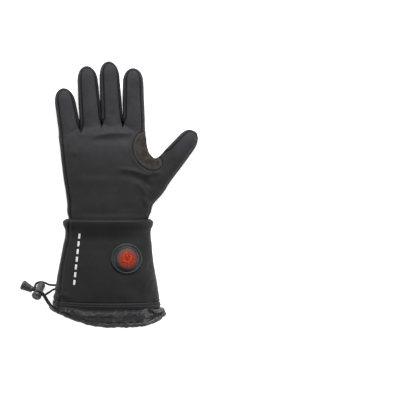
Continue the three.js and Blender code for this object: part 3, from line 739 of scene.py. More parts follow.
def raised(distance, height, middle, width):
    """A rounded ridge at a distance from a seam, or a groove where its height is below nothing."""
    return height * np.exp(-(((distance - middle) / width) ** 2))


def waves(points, height, size, seed):
    return height * wavy(points, size, seed)


# The suede patch's outline in plan, as shares of PALM_WIDTH and HAND_LENGTH.
WEB_PATCH = [
    (0.4, 0.565),
    (0.33, 0.545),
    (0.285, 0.5),
    (0.272, 0.455),
    (0.3, 0.4),
    (0.37, 0.35),
    (0.455, 0.322),
    (0.535, 0.319),
    (0.592, 0.334),
    (0.618, 0.36),
    (0.6, 0.388),
    (0.55, 0.405),
]
WEB_PATCH_CORNER = (0.5, 0.46)

hand = soft_hand()
places, normals = vertex_arrays(hand)
plan = places[:, :2]
upper = np.clip((normals[:, 2] + 0.35) / 0.3, 0.0, 1.0)
hand_size = np.array([PALM_WIDTH, HAND_LENGTH])
patch_border = spline(np.array(WEB_PATCH) * hand_size, 90)
patch_outline = np.concatenate([patch_border, [np.array(WEB_PATCH_CORNER) * hand_size]])
patch_edge = outline_distance(plan, patch_outline)

seam_outlines = [digit_seam(f, FINGER_FORM, FINGER_WIDTH, FINGERTIP) for f in FINGERS]
seam_outlines.append(digit_seam(THUMB, THUMB_FORM, THUMB_WIDTH, THUMB_TIP))
seam_outlines.append(palm_seam())
panel_edge = np.min([outline_distance(plan, outline) for outline in seam_outlines], axis=0)
panel_edge = np.where(upper > 0.0, panel_edge + (1.0 - upper) * NO_SEAM, NO_SEAM)

lift = np.zeros(len(places))
for x0, y0, x1, y1, width, height in FOLDS:
    start, end = (x0 * PALM_WIDTH, y0 * HAND_LENGTH), (x1 * PALM_WIDTH, y1 * HAND_LENGTH)
    distance, along = segment_distance(plan, start, end)
    fade = np.sin(np.clip(along, 0.0, 1.0) * math.pi)
    lift += FOLD_STRENGTH * height * fade * np.exp(-((distance / width) ** 2)) * upper
lift += HAND_FULLNESS + waves(places, *BROAD_WAVES) * upper
lift += waves(places, *FINE_WAVES)
lift -= WRIST_DIP * np.clip((14.0 - plan[:, 1]) / 12.0, 0.0, 1.0) ** 2 * upper
outside_patch = np.clip(patch_edge / 2.0, 0.0, 1.0)
lift += raised(panel_edge, *PANEL_GROOVE) * outside_patch
lift += raised(np.abs(panel_edge), *PANEL_SHOULDER) * upper * outside_patch
puckers = 1.0 + waves(places, *SEAM_PUCKERS)
# The patch's border is drawn in on the back of the hand, and fades towards the thumb and the fingers.
on_back = np.clip(upper * 1.5, 0.0, 1.0) * np.clip((0.66 - plan[:, 0] / PALM_WIDTH) / 0.14, 0.0, 1.0)
on_back *= np.clip((0.56 - plan[:, 1] / HAND_LENGTH) / 0.04, 0.0, 1.0)
lift += raised(patch_edge, *PATCH_GROOVE) * (0.05 + 0.95 * on_back)
lift += raised(patch_edge, *PATCH_SHOULDER) * puckers * on_back
lift += raised(patch_edge, *PATCH_ROLL) * on_back
lift += waves(places, *SUEDE_LUMPS) * np.clip(-patch_edge / 3.0, 0.0, 1.0)
places += normals * lift[:, None]
places[:, 2] = np.maximum(places[:, 2], CLOTH_CLEARANCE)


def quads_of(obj):
    """The mesh's faces, all of them quads, as rows of vertex numbers."""
    rows = np.empty(len(obj.data.polygons) * 4, int)
    obj.data.polygons.foreach_get("vertices", rows)
    return rows.reshape(-1, 4)


def cut_out(name, places, quads, keep, **values):
    """A new mesh object from the kept quads, with values in millimetres as vertex attributes."""
    kept = quads[keep]
    used, numbers = np.unique(kept, return_inverse=True)
    obj = add_mesh(name, in_frame(places[used]), numbers.reshape(kept.shape))
    for key, value in values.items():
        set_attribute(obj, key, value[used])
    return obj


quads = quads_of(hand)
quad_middles = places[quads].mean(axis=1)
in_patch = outline_distance(quad_middles[:, :2], patch_outline) < 0.0
wrist_mouth = quad_middles[:, 1] < -WRIST_OVERLAP + WRIST_TRIM
shared = np.intersect1d(quads[in_patch], quads[~in_patch])
dense_border = np.concatenate([spline(np.array(WEB_PATCH) * hand_size, 1200), patch_outline[-1:]])
for i in shared:
    gaps = np.linalg.norm(dense_border - places[i, :2], axis=1)
    if gaps.min() < SNAP_REACH:
        places[i, :2] = dense_border[gaps.argmin()]

softshell_piece = cut_out("softshell_hand_shell", places, quads, ~in_patch & ~wrist_mouth,
                          panel_edge=panel_edge, patch_edge=patch_edge)
patch_piece = cut_out("suede_web_patch", places, quads, in_patch, patch_edge=patch_edge)
bpy.data.objects.remove(hand)
for shell in (softshell_piece, patch_piece):
    applied(shell, SOLIDIFY={"thickness": SHELL_WALL * MM, "offset": -1.0, "material_offset": 1})


def shader_group(name, inputs, outputs):
    """A new group of shader nodes, and a function that adds nodes to it."""
    tree = bpy.data.node_groups.new(name, "ShaderNodeTree")
    for key, kind, value in inputs:
        socket = tree.interface.new_socket(key, in_out="INPUT", socket_type=kind)
        if value is not None:
            socket.default_value = value
    for key, kind in outputs:
        tree.interface.new_socket(key, in_out="OUTPUT", socket_type=kind)
    add = node_adder(tree)
    return tree, add, add("NodeGroupInput").outputs, add("NodeGroupOutput").inputs


def curve_between(add, value, low, high, to_low=0.0, to_high=1.0):
    """A smooth step of a value between two limits."""
    return add("ShaderNodeMapRange", {
        "Value": value, "From Min": low, "From Max": high, "To Min": to_low, "To Max": to_high,
    }, interpolation_type="SMOOTHSTEP").outputs[0]


def speckle(add, place, scale, detail=2.0):
    """Noise at a place, from 0 to 1."""
    return add("ShaderNodeTexNoise", {"Vector": place, "Scale": scale, "Detail": detail}).outputs["Fac"]


def brushed_knit():
    """Fine knit with a soft nap: broad shade, fine grain, and the height of its ribs."""
    tree, add, given, result = shader_group(
        "brushed_knit",
        [("Place", "NodeSocketVector", None), ("Rib", "NodeSocketFloat", 0.9)],
        [("Shade", "NodeSocketFloat"), ("Height", "NodeSocketFloat")],
    )
    millimetres = (1.0 / MM, 1.0 / MM, 1.0 / MM)
    place = add("ShaderNodeVectorMath", {0: given["Place"], 1: millimetres}, operation="MULTIPLY").outputs[0]
    broad = speckle(add, place, 0.05, 3.0)
    middle = speckle(add, place, 0.35, 3.0)
    fine = speckle(add, place, 2.2, 3.0)
    pitch = maths(add, "DIVIDE", 2 * math.pi / 20.0, given["Rib"])
    ribs = add("ShaderNodeTexWave", {"Vector": place, "Scale": pitch, "Distortion": 1.2, "Detail": 1.0,
                                     "Detail Scale": 1.5}, bands_direction="X").outputs["Fac"]
    shade = maths(add, "MULTIPLY_ADD", broad, 0.5, maths(add, "MULTIPLY", middle, 0.28))
    shade = maths(add, "ADD", shade, maths(add, "MULTIPLY", fine, 0.22))
    tree.links.new(shade, result["Shade"])
    tree.links.new(maths(add, "MULTIPLY_ADD", ribs, 0.45, fine), result["Height"])
    return tree


def sewn_line():
    """The mask of a seam of a given half width, and its rounded groove with small gathers."""
    tree, add, given, result = shader_group(
        "sewn_line",
        [("Distance", "NodeSocketFloat", NO_SEAM), ("Half Width", "NodeSocketFloat", 0.6),
         ("Place", "NodeSocketVector", None)],
        [("Mask", "NodeSocketFloat"), ("Height", "NodeSocketFloat")],
    )
    away = maths(add, "ABSOLUTE", given["Distance"])
    line = curve_between(add, away, 0.0, given["Half Width"], 1.0, 0.0)
    gathers = speckle(add, given["Place"], 420.0, 1.0)
    pulled = maths(add, "MULTIPLY", gathers, curve_between(add, away, 0.3, 3.0, 1.0, 0.0))
    tree.links.new(line, result["Mask"])
    tree.links.new(maths(add, "SUBTRACT", pulled, line), result["Height"])
    return tree


KNIT = brushed_knit()
SEWN_LINE = sewn_line()


def object_place(add):
    return add("ShaderNodeTexCoord").outputs["Object"]


def grey(value, warmth=0.0, blue=0.0):
    """A grey, with its red and its blue raised by shares of it."""
    return (value * (1 + warmth), value, value * (1 + blue), 1.0)


def attribute_value(add, name):
    return add("ShaderNodeAttribute", attribute_name=name).outputs["Fac"]


def knit_and_seam(add, half_width, knit_relief, seam_relief):
    """The knit's shade, the mask of the sewn seams, and the normal of both."""
    place = object_place(add)
    knit = add("ShaderNodeGroup", {"Place": place}, node_tree=KNIT).outputs
    sewn = add("ShaderNodeGroup", {"Distance": attribute_value(add, "panel_edge"), "Half Width": half_width,
                                   "Place": place}, node_tree=SEWN_LINE).outputs
    knitted = bumped(add, knit["Height"], *knit_relief)
    normal = bumped(add, sewn["Height"], *seam_relief, Normal=knitted)
    return curve_between(add, knit["Shade"], 0.3, 0.7), sewn["Mask"], normal


def hand_softshell():
    """Brushed softshell, painted paler on the fingers as painted light, with its seams drawn in."""
    material, shader, add = shader_nodes("softshell_hand")
    shade, seam, normal = knit_and_seam(add, 1.7, (0.5, 0.18), (0.9, 0.5))
    up_the_hand = add("ShaderNodeSeparateXYZ", {"Vector": object_place(add)}).outputs["Y"]
    # Painted light: the colour turns paler up the hand, towards the fingers.
    cloth = blended(add, curve_between(add, up_the_hand, *FINGER_PAINTED_LIGHT_FADE),
                    blended(add, shade, *PALM_TONES), blended(add, shade, *FINGER_PAINTED_LIGHT_TONES))
    feed(shader, Base_Color=blended(add, seam, cloth, grey(0.0015)), Normal=normal, Roughness=0.72,
         Specular_IOR_Level=0.22, Sheen_Weight=0.02, Sheen_Roughness=0.4)
    return material


def fleece_lining():
    """Short fleece on the inside of every panel."""
    material, shader, add = shader_nodes("fleece_lining")
    pile = speckle(add, object_place(add), 700.0, 3.0)
    feed(shader, Base_Color=blended(add, pile, grey(0.012), grey(0.04)), Normal=bumped(add, pile, 0.8, 0.8),
         Roughness=0.95)
    return material


# The palm's tones, then the fingers' paler tones and the stretch up the hand over which they fade in, as
# painted light.
PALM_TONES = (grey(0.0135, 0.0, 0.04), grey(0.0195, 0.0, 0.04))
FINGER_PAINTED_LIGHT_TONES = (grey(0.0195, 0.06, 0.12), grey(0.0305, 0.06, 0.12))
FINGER_PAINTED_LIGHT_FADE = (0.035, 0.075)

lining_material = fleece_lining()
softshell_piece.data.materials.append(hand_softshell())
softshell_piece.data.materials.append(lining_material)
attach(softshell_piece, "glove")
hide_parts("back_panel", "palm_panel")

# Suede patch in the thumb's web
# Brown napped suede let into the softshell where the thumb meets the palm, with its raw edge turned
# under and topstitched, so that it stands up a little along its border.
SUEDE_BORDER = 3.4
SUEDE_TONES = ((0.022, 0.0195, 0.0175, 1.0), (0.041, 0.0365, 0.0325, 1.0))
# A painted highlight for the raised roll along the turned edge.
SUEDE_PAINTED_HIGHLIGHT = (0.042, 0.0415, 0.0355, 1.0)
SUEDE_SEAM = (0.012, 0.011, 0.01, 1.0)


def napped_suede():
    """Blotched suede, painted paler along its raised turned edge as a painted highlight."""
    material, shader, add = shader_nodes("napped_suede")
    place = object_place(add)
    distance = attribute_value(add, "patch_edge")
    blotches = curve_between(add, speckle(add, place, 190.0, 4.0), 0.36, 0.66)
    # Painted highlight on the raised roll just inside the turned edge.
    wear_and_painted_highlight = curve_between(add, distance, -SUEDE_BORDER, -0.55 * SUEDE_BORDER)
    suede = blended(add, wear_and_painted_highlight, blended(add, blotches, *SUEDE_TONES), SUEDE_PAINTED_HIGHLIGHT)
    sewn = curve_between(add, distance, -1.1, -0.2)
    feed(shader, Base_Color=blended(add, sewn, suede, SUEDE_SEAM),
         Normal=bumped(add, speckle(add, place, 1500.0, 3.0), 0.6, 0.3), Roughness=0.95,
         Specular_IOR_Level=0.1, Sheen_Weight=0.04, Sheen_Tint=(0.8, 0.7, 0.55, 1.0))
    return material


patch_piece.data.materials.append(napped_suede())
patch_piece.data.materials.append(lining_material)
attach(patch_piece, "glove")
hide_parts("web_patch")

# Gauntlet cuff
# Heavier softshell, sewn to a flared tube. Its top edge is folded and rolled in over the hand's wrist,
# and its lower edge is turned up and topstitched. A side seam runs down the little finger's side.
CUFF_WALL = 2.4
ROLLED_LIP = 4.6
LIP_LENGTH = 0.06
CUFF_SQUARENESS = 2.45
CUFF_TONES = (grey(0.0053, 0.0, 0.08), grey(0.0084, 0.0, 0.08))
OUTSIDE_ROWS = (14, 66, 22)
CUFF_COLUMNS = ("along", "left", "right", "thickness")
CUFF_FORM = [
    (CUFF_TOP, *WRIST_FORM),
    (0.004, -0.422, 0.404, 0.81),
    (0.045, -0.422, 0.405, 0.81),
    (0.095, -0.406, 0.389, 0.78),
    (0.14, -0.403, 0.386, 0.77),
    (0.28, -0.425, 0.397, 0.82),
    (0.43, -0.446, 0.408, 0.87),
    (0.57, -0.468, 0.425, 0.92),
    (0.71, -0.486, 0.446, 0.96),
    (0.85, -0.502, 0.464, 0.99),
    (0.95, -0.516, 0.474, 1.0),
    (1.0, CUFF_LEFT, 0.476, 1.01),
]
CUFF_EDGE_RISE = (0.032, 0.01)
# How far the cloth stands out of the cuff's plain form, in millimetres, down its length.
RELIEF_COLUMNS = ("along", "out")
CUFF_RELIEF = [
    (CUFF_TOP, 0.2),
    (-0.01, 0.8),
    (0.004, 0.9),
    (0.016, 0.45),
    (0.05, 0.25),
    (0.1, -0.05),
    (0.16, 0.0),
    (0.91, 0.0),
    (0.93, 0.1),
    (0.941, -0.7),
    (0.95, 0.3),
    (0.965, 0.5),
    (0.985, 0.45),
    (1.0, 0.2),
]
# Soft folds and dents: ends in millimetres from the wrist seam, width and height.
CUFF_FOLDS = [
    (40.0, -50.0, 46.0, -86.0, 7.0, 1.1),
    (53.0, -57.0, 42.0, -78.0, 3.2, 1.7),
    (54.0, -68.0, 49.0, -84.0, 2.6, 1.1),
    (51.0, -45.0, 49.0, -60.0, 3.4, -1.3),
    (47.0, -66.0, 38.0, -80.0, 4.0, -0.8),
    (50.0, -88.0, 55.0, -99.0, 2.4, -1.0),
    (-64.0, -78.0, -58.5, -84.0, 1.8, 1.3),
    (-65.0, -83.0, -58.5, -88.0, 1.7, -1.3),
    (-66.0, -88.0, -59.0, -92.0, 1.8, 1.4),
    (-66.0, -93.0, -59.0, -96.5, 1.6, -1.3),
    (-62.0, -70.0, -57.5, -77.0, 1.8, -1.0),
    (26.0, -72.0, 44.0, -92.0, 8.0, -1.0),
    (-60.0, -84.0, -44.0, -90.0, 2.6, 1.2),
    (-58.0, -91.0, -46.0, -95.0, 2.4, -1.1),
    (-56.0, -74.0, -50.0, -82.0, 2.6, 0.9),
    (-52.0, -11.5, 48.0, -11.5, 7.0, 1.5),
    (-40.0, -30.0, 34.0, -32.0, 14.0, -0.7),
    (-30.0, -52.0, -26.0, -92.0, 16.0, -0.8),
    (-47.0, -12.0, -49.0, -30.0, 4.0, 0.9),
    (44.0, -12.0, 47.0, -30.0, 3.5, 0.7),
]
CUFF_BROAD_WAVES = (0.55, 34.0, 11.0)
CUFF_FINE_WAVES = (0.16, 9.0, 12.0)
HEM_WAVES = (0.35, 5.0, 13.0)
HEM_PLACE = -94.0
SIDE_GROOVE = (-1.3, 0.0, 1.1)
SIDE_SHOULDER = (0.6, 2.6, 1.4)
TABLE_CLEARANCE = 0.12
# The side seam's way down the cuff in plan, in millimetres from the middle of the wrist seam.
SIDE_SEAM = [
    (-46.5, 1.5),
    (-47.3, -8.0),
    (-46.6, -16.0),
    (-50.5, -34.0),
    (-53.9, -53.3),
    (-55.6, -66.9),
    (-57.0, -79.5),
    (-57.2, -90.0),
    (-58.6, -101.0),
]
CUFF_SIDES = 176


def cuff_section(along):
    """The cuff's outline at a share of its length, and the outline's outward directions."""
    form = columns(CUFF_FORM, CUFF_COLUMNS)
    along = np.clip(along, form["along"][0], 1.0)
    left, right, thickness = (
        float(through(form["along"], form[key], along)) for key in CUFF_COLUMNS[1:]
    )
    half = (right - left) / 2 * CUFF_WIDTH
    high = thickness * CUFF_THICKNESS
    section = rounded_section(half, -PRESSED_FLAT, high, 0.0, CUFF_SQUARENESS, CUFF_SIDES)
    section[:, 0] += (left + right) / 2 * CUFF_WIDTH
    ahead = np.roll(section, -1, axis=0) - np.roll(section, 1, axis=0)
    outward_way = np.stack([ahead[:, 1], -ahead[:, 0]], 1)
    outward_way /= np.linalg.norm(outward_way, axis=1)[:, None]
    return section, outward_way, half, (left + right) / 2 * CUFF_WIDTH


def cuff_ring(along, out, past=0.0, lip=0.0):
    """The cuff's ring at a share of its length, moved out, less its rolled lip, and past the end."""
    section, way, half, centre = cuff_section(along)
    moved = section + way * (out - lip * ROLLED_LIP * np.clip(section[:, 1:] / 8.0, 0.0, 1.0))
    side = (section[:, 0] - centre) / half
    rise = np.where(side < 0, *CUFF_EDGE_RISE) * CUFF_LENGTH * side**2 * max(along, 0.0) ** 3
    return np.stack([moved[:, 0], -along * CUFF_LENGTH - past + rise, moved[:, 1]], 1)


def cuff_rings():
    """Rings that run down the outside, round the lower lip, up the inside and round the top."""
    relief = columns(CUFF_RELIEF, RELIEF_COLUMNS)
    shares = np.concatenate([
        np.linspace(start, end, rows)
        for start, end, rows in zip((CUFF_TOP, 0.06, 0.91), (0.05, 0.9, 1.0), OUTSIDE_ROWS)
    ])
    outs = np.interp(shares, relief["along"], relief["out"])
    rings = [cuff_ring(share, out) for share, out in zip(shares, outs)]
    radius = CUFF_WALL / 2
    for turn in np.linspace(0.0, math.pi, 9)[1:-1]:
        rings.append(cuff_ring(1.0, radius * (math.cos(turn) - 1.0), radius * math.sin(turn)))
    for share in np.concatenate([np.linspace(1.0, LIP_LENGTH, 34), np.linspace(0.05, CUFF_TOP, 8)]):
        rings.append(cuff_ring(share, -CUFF_WALL, lip=np.clip(1.0 - share / LIP_LENGTH, 0.0, 1.0) ** 2))
    for turn in np.linspace(0.0, math.pi, 9)[1:-1]:
        inner = (1.0 + math.cos(turn)) / 2
        rings.append(cuff_ring(CUFF_TOP, -CUFF_WALL * inner, -radius * math.sin(turn), inner))
    return rings


def polyline_distance(points, line):
    """Distance of points in plan from a line of several pieces."""
    return np.min([segment_distance(points, a, b)[0] for a, b in zip(line, line[1:])], axis=0)


def gauntlet():
    """The cuff's mesh, with its folds, its side seam, and the distance from that seam."""
    rings = cuff_rings()
    cuff = add_mesh("gauntlet_cuff_shell", in_frame(np.concatenate(rings)),
                    grid_faces(len(rings), CUFF_SIDES, closed_rows=True))
    outward(cuff)
    places, normals = vertex_arrays(cuff)
    outside = np.zeros(len(places), bool)
    outside[: sum(OUTSIDE_ROWS) * CUFF_SIDES] = True
    upper = np.clip((normals[:, 2] + 0.2) / 0.4, 0.0, 1.0) * outside
    lift = waves(places, *CUFF_BROAD_WAVES) * upper + waves(places, *CUFF_FINE_WAVES) * outside
    for x0, y0, x1, y1, width, height in CUFF_FOLDS:
        distance, along = segment_distance(places[:, :2], (x0, y0), (x1, y1))
        fade = np.sin(np.clip(along, 0.02, 0.98) * math.pi) ** 0.6
        lift += height * fade * np.exp(-((distance / width) ** 2)) * upper
    seam = polyline_distance(places[:, :2], spline(SIDE_SEAM, 24))
    seam = np.where(upper > 0.0, seam, NO_SEAM)
    lift += raised(seam, *SIDE_GROOVE) * upper
    lift += raised(seam, *SIDE_SHOULDER) * upper
    near_hem = np.exp(-(((places[:, 1] - HEM_PLACE) / 4.5) ** 2)) * outside
    lift += waves(places * np.array([1.0, 0.3, 1.0]), *HEM_WAVES) * near_hem
    places += normals * lift[:, None]
    places[:, 2] = np.maximum(places[:, 2], TABLE_CLEARANCE)
    set_places(cuff, places)
    set_attribute(cuff, "panel_edge", np.where(outside, seam, NO_SEAM))
    return cuff


def cuff_softshell():
    """The same softshell in a blacker shade, with the side seam drawn in."""
    material, shader, add = shader_nodes("softshell_cuff")
    shade, seam, normal = knit_and_seam(add, 1.4, (0.45, 0.16), (0.8, 0.5))
    cloth = blended(add, shade, *CUFF_TONES)
    feed(shader, Base_Color=blended(add, seam, cloth, grey(0.001)), Normal=normal, Roughness=0.62,
         Specular_IOR_Level=0.25)
    return material


cuff_piece = gauntlet()
cuff_piece.data.materials.append(cuff_softshell())
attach(cuff_piece, "glove")
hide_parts("gauntlet_cuff")

# Topstitching
# Black thread, about nine stitches to 25 mm: two rows along the cuff's hem, one round the suede
# patch's turned edge. Each stitch lies proud of the cloth and dips into it at its ends.
STITCH_PITCH = 2.8
STITCH_SHARE = 0.84
STITCH_LEAN = 0.05
THREAD = 0.55
THREAD_CLEARANCE = 0.02
PATCH_ROW_INSET = 2.6
PATCH_ROW_LIFT = 0.12
HEM_ROW_LIFT = 0.1
HEM_ROWS = (("hem_topstitch_upper", 0.951), ("hem_topstitch_lower", 0.979))


def stitch_tree():
    """Geometry nodes that lay a stitch at every step along a line, each a little out of true."""
    tree = bpy.data.node_groups.new("laid_stitches", "GeometryNodeTree")
    for key, kind, value in (
        ("Line", "NodeSocketGeometry", None),
        ("Pitch", "NodeSocketFloat", STITCH_PITCH * MM),
        ("Thread", "NodeSocketFloat", THREAD * MM),
        ("Seed", "NodeSocketInt", 7),
        ("Thread Material", "NodeSocketMaterial", None),
    ):
        socket = tree.interface.new_socket(key, in_out="INPUT", socket_type=kind)
        if value is not None:
            socket.default_value = value
    tree.interface.new_socket("Stitches", in_out="OUTPUT", socket_type="NodeSocketGeometry")
    add = node_adder(tree)
    given = add("NodeGroupInput").outputs
    line = add("GeometryNodeMeshToCurve", {"Mesh": given["Line"]}).outputs["Curve"]
    steps = add("GeometryNodeCurveToPoints", {"Curve": line, "Length": given["Pitch"]}, mode="LENGTH")
    stitch = add("GeometryNodeMeshUVSphere", {"Segments": 8, "Rings": 6, "Radius": 0.5}).outputs["Mesh"]
    long = maths(add, "MULTIPLY", given["Pitch"], STITCH_SHARE)
    size = add("ShaderNodeCombineXYZ", {"X": given["Thread"], "Y": given["Thread"], "Z": long}).outputs[0]
    shaped = add("GeometryNodeTransform", {"Geometry": stitch, "Scale": size}).outputs["Geometry"]
    lean = add("FunctionNodeRandomValue", {"Min": (-STITCH_LEAN,) * 3, "Max": (STITCH_LEAN,) * 3,
                                           "Seed": given["Seed"]}, data_type="FLOAT_VECTOR").outputs["Value"]
    laid = add("GeometryNodeInstanceOnPoints", {"Points": steps.outputs["Points"], "Instance": shaped,
                                                "Rotation": steps.outputs["Rotation"]}).outputs["Instances"]
    leaning = add("GeometryNodeRotateInstances", {"Instances": laid, "Rotation": lean}).outputs["Instances"]
    real = add("GeometryNodeRealizeInstances", {"Geometry": leaning}).outputs["Geometry"]
    done = add("GeometryNodeSetMaterial", {"Geometry": real, "Material": given["Thread Material"]})
    tree.links.new(done.outputs["Geometry"], add("NodeGroupOutput").inputs["Stitches"])
    return tree


STITCHES = stitch_tree()


def spun_thread():
    """Black polyester thread, with its twist."""
    material, shader, add = shader_nodes("spun_thread")
    twist = speckle(add, object_place(add), 2500.0)
    feed(shader, Base_Color=blended(add, twist, grey(0.02), grey(0.05)), Roughness=0.6)
    return material


THREAD_MATERIAL = spun_thread()


def stitched(name, line, seed):
    """A row of stitches along a line of points, in millimetres from the wrist seam."""
    line = in_frame(line)
    mesh = bpy.data.meshes.new(name)
    mesh.from_pydata([tuple(p) for p in line], [(i, i + 1) for i in range(len(line) - 1)], [])
    row = bpy.data.objects.new(name, mesh)
    bpy.context.scene.collection.objects.link(row)
    modifier = row.modifiers.new("stitches", "NODES")
    modifier.node_group = STITCHES
    sockets = {item.name: item.identifier for item in STITCHES.interface.items_tree if item.in_out == "INPUT"}
    for key, value in (("Pitch", STITCH_PITCH * MM), ("Thread", THREAD * MM), ("Seed", seed),
                       ("Thread Material", THREAD_MATERIAL)):
        modifier[sockets[key]] = value
    applied(row)
    row.data.shade_smooth()
    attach(row, "glove")


def dropped(piece, line, lift):
    """Points of a line in plan, dropped from above onto a piece."""
    tree = BVHTree.FromObject(piece, bpy.context.evaluated_depsgraph_get())
    found = []
    for x, y in line:
        start = in_frame((x, y, 90.0))
        hit = tree.ray_cast(Vector(start), Vector((0.0, 0.0, -1.0)))[0]
        if hit is not None:
            found.append((x, y, hit.z / MM + lift))
    return np.array(found)


def pulled_in(line, away):
    """A line in plan, moved to its left by a distance."""
    ahead = np.gradient(line, axis=0)
    ahead /= np.linalg.norm(ahead, axis=1)[:, None]
    return line + away * np.stack([-ahead[:, 1], ahead[:, 0]], 1)


bpy.context.view_layer.update()
patch_row = dropped(patch_piece, pulled_in(patch_border, PATCH_ROW_INSET)[3:-3], PATCH_ROW_LIFT)
stitched("patch_topstitch", patch_row, 3)
for name, along in HEM_ROWS:
    relief = columns(CUFF_RELIEF, RELIEF_COLUMNS)
    ring = cuff_ring(along, float(np.interp(along, relief["along"], relief["out"])) + HEM_ROW_LIFT)
    ring[:, 2] = np.maximum(ring[:, 2], THREAD / 2 + THREAD_CLEARANCE)
    stitched(name, np.concatenate([ring, ring[:1]]), 5)

# Reflective dashes
# A row of slim square dashes of silver heat-transfer film, pressed onto the cuff on the little
# finger's side and standing a hair above the cloth.
DASHES = 7
DASH_START = (-34.6, -17.5)
DASH_END = (-40.0, -72.0)
DASH_LENGTH = 6.0
DASH_WIDTH = 2.4
FILM_HEIGHT = 0.2
DASH_CELLS = 8
SILVER = (0.62, 0.63, 0.64, 1.0)


def dash_rows(middle, along):
    """Points of one dash in plan, row by row."""
    across = np.array([along[1], -along[0]])
    steps = np.linspace(-0.5, 0.5, DASH_CELLS)
    return np.array([middle + across * u * DASH_WIDTH + along * v * DASH_LENGTH
                     for v in steps for u in steps])


def dash_faces(first):
    """Top, underside and rim of one dash whose points start at first."""
    count = DASH_CELLS * DASH_CELLS
    faces = []
    for r in range(DASH_CELLS - 1):
        for c in range(DASH_CELLS - 1):
            a = first + r * DASH_CELLS + c
            quad = (a, a + 1, a + DASH_CELLS + 1, a + DASH_CELLS)
            faces.append(quad)
            faces.append(tuple(count + i for i in reversed(quad)))
    last = DASH_CELLS - 1
    rim = [first + c for c in range(last)]
    rim += [first + r * DASH_CELLS + last for r in range(last)]
    rim += [first + count - 1 - c for c in range(last)]
    rim += [first + (last - r) * DASH_CELLS for r in range(last)]
    for a, b in zip(rim, rim[1:] + rim[:1]):
        faces.append((a, a + count, b + count, b))
    return faces


def dashes(name):
    """The whole row as one thin mesh that follows the cuff's surface."""
    start_point, end_point = np.array(DASH_START), np.array(DASH_END)
    along = (end_point - start_point) / np.linalg.norm(end_point - start_point)
    points, faces = [], []
    for share in np.linspace(0.0, 1.0, DASHES):
        middle = start_point + (end_point - start_point) * share
        top = dropped(cuff_piece, dash_rows(middle, along), FILM_HEIGHT)
        faces += dash_faces(sum(len(p) for p in points))
        points += [top, top - np.array([0.0, 0.0, 2 * FILM_HEIGHT])]
    return outward(add_mesh(name, in_frame(np.concatenate(points)), faces))


def silver_film():
    """Matt silver film, rubbed through to the cloth in places."""
    material, shader, add = shader_nodes("silver_film")
    worn = curve_between(add, speckle(add, object_place(add), 900.0, 4.0), 0.6, 0.72)
    feed(shader, Base_Color=blended(add, worn, SILVER, grey(0.05)), Roughness=0.45)
    return material


dash_row = dashes("reflective_dashes")
dash_row.data.materials.append(silver_film())
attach(dash_row, "glove")

# Gathered skirt
# Thin crinkled nylon sewn inside the cuff's lower edge, so that it hangs out below it and keeps the
# snow out. Its hem is turned over to a tube for the drawcord, which draws it up in small gathers.
SKIRT_DROP = 20.5
SKIRT_WIDTH = 134.0
SKIRT_THICKNESS = 40.0
SKIRT_WALL = 0.7
SKIRT_OVERLAP = 8.0
SKIRT_SEAT = 3.23
HEM_RADIUS = 2.6
GATHER_DEPTH = 1.3
GATHERS = 14
SKIRT_COLUMNS = 420
WALL_ROWS = 24
BEAD_ROWS = 20
HEM_SQUARENESS = 2.2
# The nylon's dark tone and a painted highlight for its crease ridges, then painted shade for below the cuff's
# edge.
NYLON_TONE_AND_PAINTED_HIGHLIGHT = ((0.036, 0.033, 0.037, 1.0), (0.135, 0.127, 0.139, 1.0))
NYLON_PAINTED_SHADE = (0.008, 0.0075, 0.0082, 1.0)
SKIRT_CENTRE = -0.018
HEM_RISE = (1.02, 0.6)
HEM_CURVE = (1.75, 5.5)
# Painted shade: the nylon's colour is darkened just below the cuff's edge, where the cuff would shade it, and
# towards its two ends.
PAINTED_SHADE_DEPTH = 5.0
PAINTED_SHADE_LEFT = -66.0
PAINTED_SHADE_RIGHT = 69.0
PAINTED_SHADE_SPAN = 20.0
# Folds of the cloth: ends in millimetres from the wrist seam, width and height.
SKIRT_FOLDS = [
    (45.0, -102.0, 54.0, -110.5, 1.5, -2.6),
    (51.0, -109.5, 69.0, -112.5, 1.5, -2.4),
    (50.0, -103.0, 68.0, -107.5, 2.6, 1.5),
    (-58.0, -102.0, -40.0, -106.0, 2.0, -1.8),
    (-36.0, -108.0, -8.0, -107.0, 2.4, 1.3),
    (2.0, -109.0, 30.0, -106.5, 2.2, 1.2),
    (-30.0, -113.5, 4.0, -114.0, 2.2, -1.2),
    (8.0, -114.5, 40.0, -112.0, 2.2, -1.2),
    (-14.0, -118.0, 26.0, -118.0, 2.4, 1.0),
]
SPREAD_COLUMNS = ("along", "spread", "gather")
SPREAD = [(0.0, 0.0, 0.1), (0.06, 0.0, 0.2), (0.3, 0.5, 0.7), (0.7, 0.88, 1.0), (1.0, 1.0, 0.6)]


